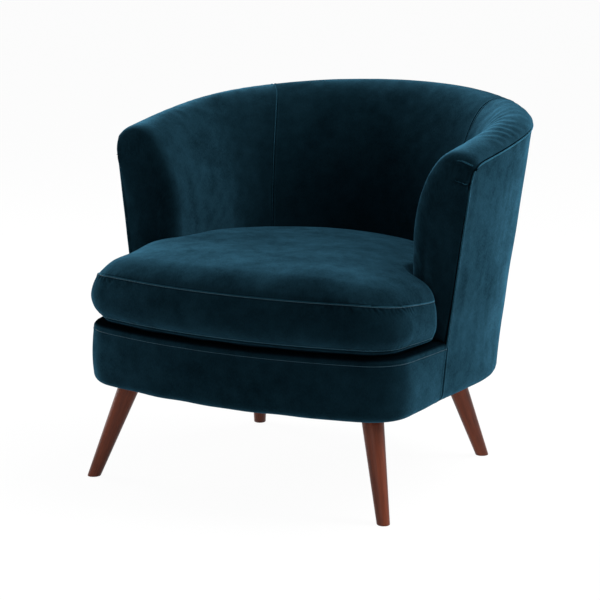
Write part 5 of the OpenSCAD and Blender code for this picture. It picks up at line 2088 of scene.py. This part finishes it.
@dataclass
class Linings:
    """The thin cloths over the deck and under the base, with the staples of the lower one."""

    finishes: Finishes
    repeats: Repeats
    grid: float = 14.0
    lowered: float = 2.5

    def panel(self, name: str, node: str, up: bool, thickness: float, seed: int) -> Object:
        """Makes one lining from the outer faces of its solid, cut fine and sagging a little.

        Args:
            name: Name of the piece.
            node: The solid that it stands for.
            up: Whether its outer face looks up.
            thickness: Its thickness in mm.
            seed: Seed of its unevenness.

        Returns:
            The piece.
        """
        low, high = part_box(node)
        mesh = bpy.data.meshes.new(name)
        with opened(frame["nodes"][node].data, into=mesh) as work:
            away = [f for f in work.faces if (f.normal.z < 0.9 if up else f.normal.z > -0.9)]
            bmesh.ops.delete(work, geom=away, context="FACES")
            bmesh.ops.remove_doubles(work, verts=work.verts, dist=MERGE)
            for axis in (0, 1):
                for line in np.arange(low[axis] + self.grid * MM / 2, high[axis], self.grid * MM):
                    place, normal = Vector((0, 0, 0)), Vector((0, 0, 0))
                    place[axis], normal[axis] = line, 1.0
                    geom = work.verts[:] + work.edges[:] + work.faces[:]
                    bmesh.ops.bisect_plane(work, geom=geom, plane_co=place, plane_no=normal, dist=MERGE / 2)
            bmesh.ops.remove_doubles(work, verts=work.verts, dist=MERGE)
            rim = {v for e in work.edges if e.is_boundary for v in e.verts}
            if not up:
                bmesh.ops.translate(work, verts=work.verts, vec=Vector((0.0, 0.0, -self.lowered * MM)))
            x, y, _ = (np.array([v.co[:] for v in work.verts]) * 1000).T
            sag = 0.55 + 0.3 * wander(x, y, 130.0, seed) + 0.12 * wander(x, y, 45.0, seed + 1)
            for vertex, drop in zip(work.verts, sag):
                if vertex not in rim:
                    vertex.co.z -= max(0.1, float(drop)) * MM
        mesh.materials.clear()
        mesh.polygons.foreach_set("use_smooth", [True] * len(mesh.polygons))
        piece = in_scene(name, mesh)
        thicken(piece, thickness)
        register(piece, "chair", "lining", node, finish=self.finishes.lining)
        return piece

    def staples(self, tub: TubForm) -> Object:
        """Makes the staples round the lower lining."""
        front = tub.round_the_front(6.0)
        back = tub.round_the_back(tub.arm_end(np.array([2.0, 8.0]), 90.0), 6.0)
        insets = ((front, tub.bottom_round + 16.0), (back, tub.shell_round + 22.0))
        ring = np.concatenate([run.point - inset * run.normal for run, inset in insets]) + tub.shift
        points, heading = even_run(np.column_stack([ring, np.full(len(ring), tub.base_bottom - 1.1)]), 32.0)
        facing = np.repeat([[0.0, 0.0, -1.0]], len(points), axis=0)
        piece = self.repeats.place(
            "lining_staples", points, heading, facing, (10.0, 1.1, 0.6), self.finishes.steel,
            seed=9, jitter=0.02, shape=Shape.FLAT,
        )
        return register(piece, "chair", "steel")

    def build(self, tub: TubForm) -> list[Object]:
        """Makes both linings and the staples."""
        return [
            self.panel("lining_deck", "deck_cover", True, 1.0, 81),
            self.panel("lining_underside", "dust_cover", False, 0.7, 83),
            self.staples(tub),
        ]


@dataclass(frozen=True)
class InnerPieces:
    """The solids that show as they are: frame, springs, webbing and fillings."""

    finishes: Finishes

    def dress(self) -> int:
        """Gives every carried-over solid the finish of its material slot.

        Returns:
            How many solids there are.
        """
        slots = {row["node"]: row["material_slot"] for row in frame["record"]["subparts"]}
        shown = {name: node for name, node in frame["nodes"].items() if not node.hide_render}
        for name, node in shown.items():
            node.data.materials.clear()
            node.data.materials.append(getattr(self.finishes, slots[name]))
        return len(shown)


# Studio


@dataclass(frozen=True)
class Softbox:
    """An area lamp that faces the chair."""

    name: str
    place: tuple[float, float, float]
    width: float
    height: float
    power: float

    def add(self, towards: Vector) -> None:
        """Adds the lamp to the scene, turned towards a point."""
        lamp = bpy.data.lights.new(self.name, "AREA")
        lamp.shape = "RECTANGLE"
        lamp.size, lamp.size_y = self.width, self.height
        lamp.energy = self.power
        made = in_scene(self.name, lamp)
        made.location = self.place
        made.rotation_euler = (Vector(self.place) - towards).to_track_quat("Z", "Y").to_euler()


LAMPS = (
    Softbox("overhead", (0.9, 1.1, 3.1), 2.4, 2.0, 125.0),
    Softbox("left_side", (-3.0, 0.2, 1.5), 1.6, 2.2, 72.0),
    Softbox("right_side", (2.7, 1.2, 2.5), 1.4, 2.2, 93.0),
    Softbox("front", (0.2, -3.6, 2.0), 2.2, 1.6, 20.0),
)


@dataclass(frozen=True)
class Studio:
    """Camera, lamps, pale floor and white background."""

    azimuth: float = 30.54
    elevation: float = 11.51
    distance: float = 4.5155
    focal_pixels: float = 2341.4
    picture_pixels: float = 600.0
    sensor: float = 36.0
    shift_right: float = -0.0072
    target_y: float = -0.0701
    target_z: float = 0.3335
    lamp_target_z: float = 0.4
    world: float = 0.30
    sky: Colour = (0.92, 0.96, 1.0)
    white: Colour = (1.0, 1.0, 1.0)
    floor_reach: float = 40000.0
    floor_glow: float = 0.96

    def build(self) -> None:
        """Sets up the whole studio."""
        self.camera()
        self.background()
        self.floor()
        for lamp in LAMPS:
            lamp.add(Vector((0.0, 0.0, self.lamp_target_z)))
        bpy.context.scene.view_settings.view_transform = "Standard"

    def camera(self) -> None:
        """Makes the camera: in front of the chair, to its right and a little above it."""
        turn, rise = math.radians(self.azimuth), math.radians(self.elevation)
        back = Vector((math.sin(turn) * math.cos(rise), -math.cos(turn) * math.cos(rise), math.sin(rise)))
        right = Vector((math.cos(turn), math.sin(turn), 0.0))
        target = right * self.shift_right + Vector((0.0, self.target_y, self.target_z))
        view = bpy.data.cameras.new("camera")
        view.sensor_width = self.sensor
        view.lens = self.focal_pixels * self.sensor / self.picture_pixels
        view.clip_end = 100.0
        made = in_scene("camera", view)
        made.location = target + back * self.distance
        made.rotation_euler = back.to_track_quat("Z", "Y").to_euler()
        bpy.context.scene.camera = made

    def background(self) -> None:
        """Makes the world: even soft light, and plain white to the camera."""
        world = bpy.data.worlds.new("studio")
        world.use_nodes = True
        nodes = Nodes(world.node_tree)
        soft = nodes.node("ShaderNodeBackground", {"Color": self.sky, "Strength": self.world})
        white = nodes.node("ShaderNodeBackground", {"Color": self.white, "Strength": 1.0})
        mix = nodes.node("ShaderNodeMixShader", {0: nodes.seen(), 1: soft, 2: white})
        nodes.node("ShaderNodeOutputWorld", {"Surface": mix})
        bpy.context.scene.world = world

    def floor(self) -> None:
        """Makes the pale floor, which keeps the chair's shadow."""
        corners = np.array([[-1, -1, 0], [1, -1, 0], [1, 1, 0], [-1, 1, 0]]) * self.floor_reach
        floor = mesh_object("studio_floor", corners, [(0, 1, 2, 3)])
        shader = Shader("studio_floor")
        grain = shader.noise(shader.places(), 2.0, 2.0).swung(0.0, 1.0, 0.9, 0.94)
        pale = shader.mixed(grain, (0.86, 0.86, 0.86), (0.9, 0.9, 0.9))
        matt = shader.node("ShaderNodeBsdfDiffuse", {"Color": pale})
        white = shader.node("ShaderNodeEmission", {"Color": self.white, "Strength": 1.0})
        mix = shader.node("ShaderNodeMixShader", {0: shader.seen() * self.floor_glow, 1: matt, 2: white})
        floor.data.materials.append(shader.closed(mix))


def main() -> None:
    """Builds the chair's pieces in order and reports each."""
    logging.basicConfig(level=logging.INFO, format="%(name)s: %(message)s")
    Studio().build()
    finishes = Finishes()
    form = TubForm()
    repeats = Repeats()
    covers = ShellCovers(form, finishes)
    cushion = SeatCushion(CushionForm(form), finishes)
    closure = Zip(form, finishes, repeats)
    made = covers.build_inside() + covers.build_outside() + [covers.build_border()]
    made += [cushion.build_skin(), closure.build_tape(), closure.build_coil(), closure.build_slider()]
    made += Legs(form, finishes).build()
    made += Linings(finishes, repeats).build(form)
    made += SeamRolls(finishes).build(covers, cushion)
    made += SeamThreads(finishes, repeats).build(covers, cushion)
    LOG.info("inner pieces: %d", InnerPieces(finishes).dress())
    for piece in made:
        LOG.info("%s: %d faces", piece.name, len(piece.data.polygons))


if __name__ == "__main__":
    main()
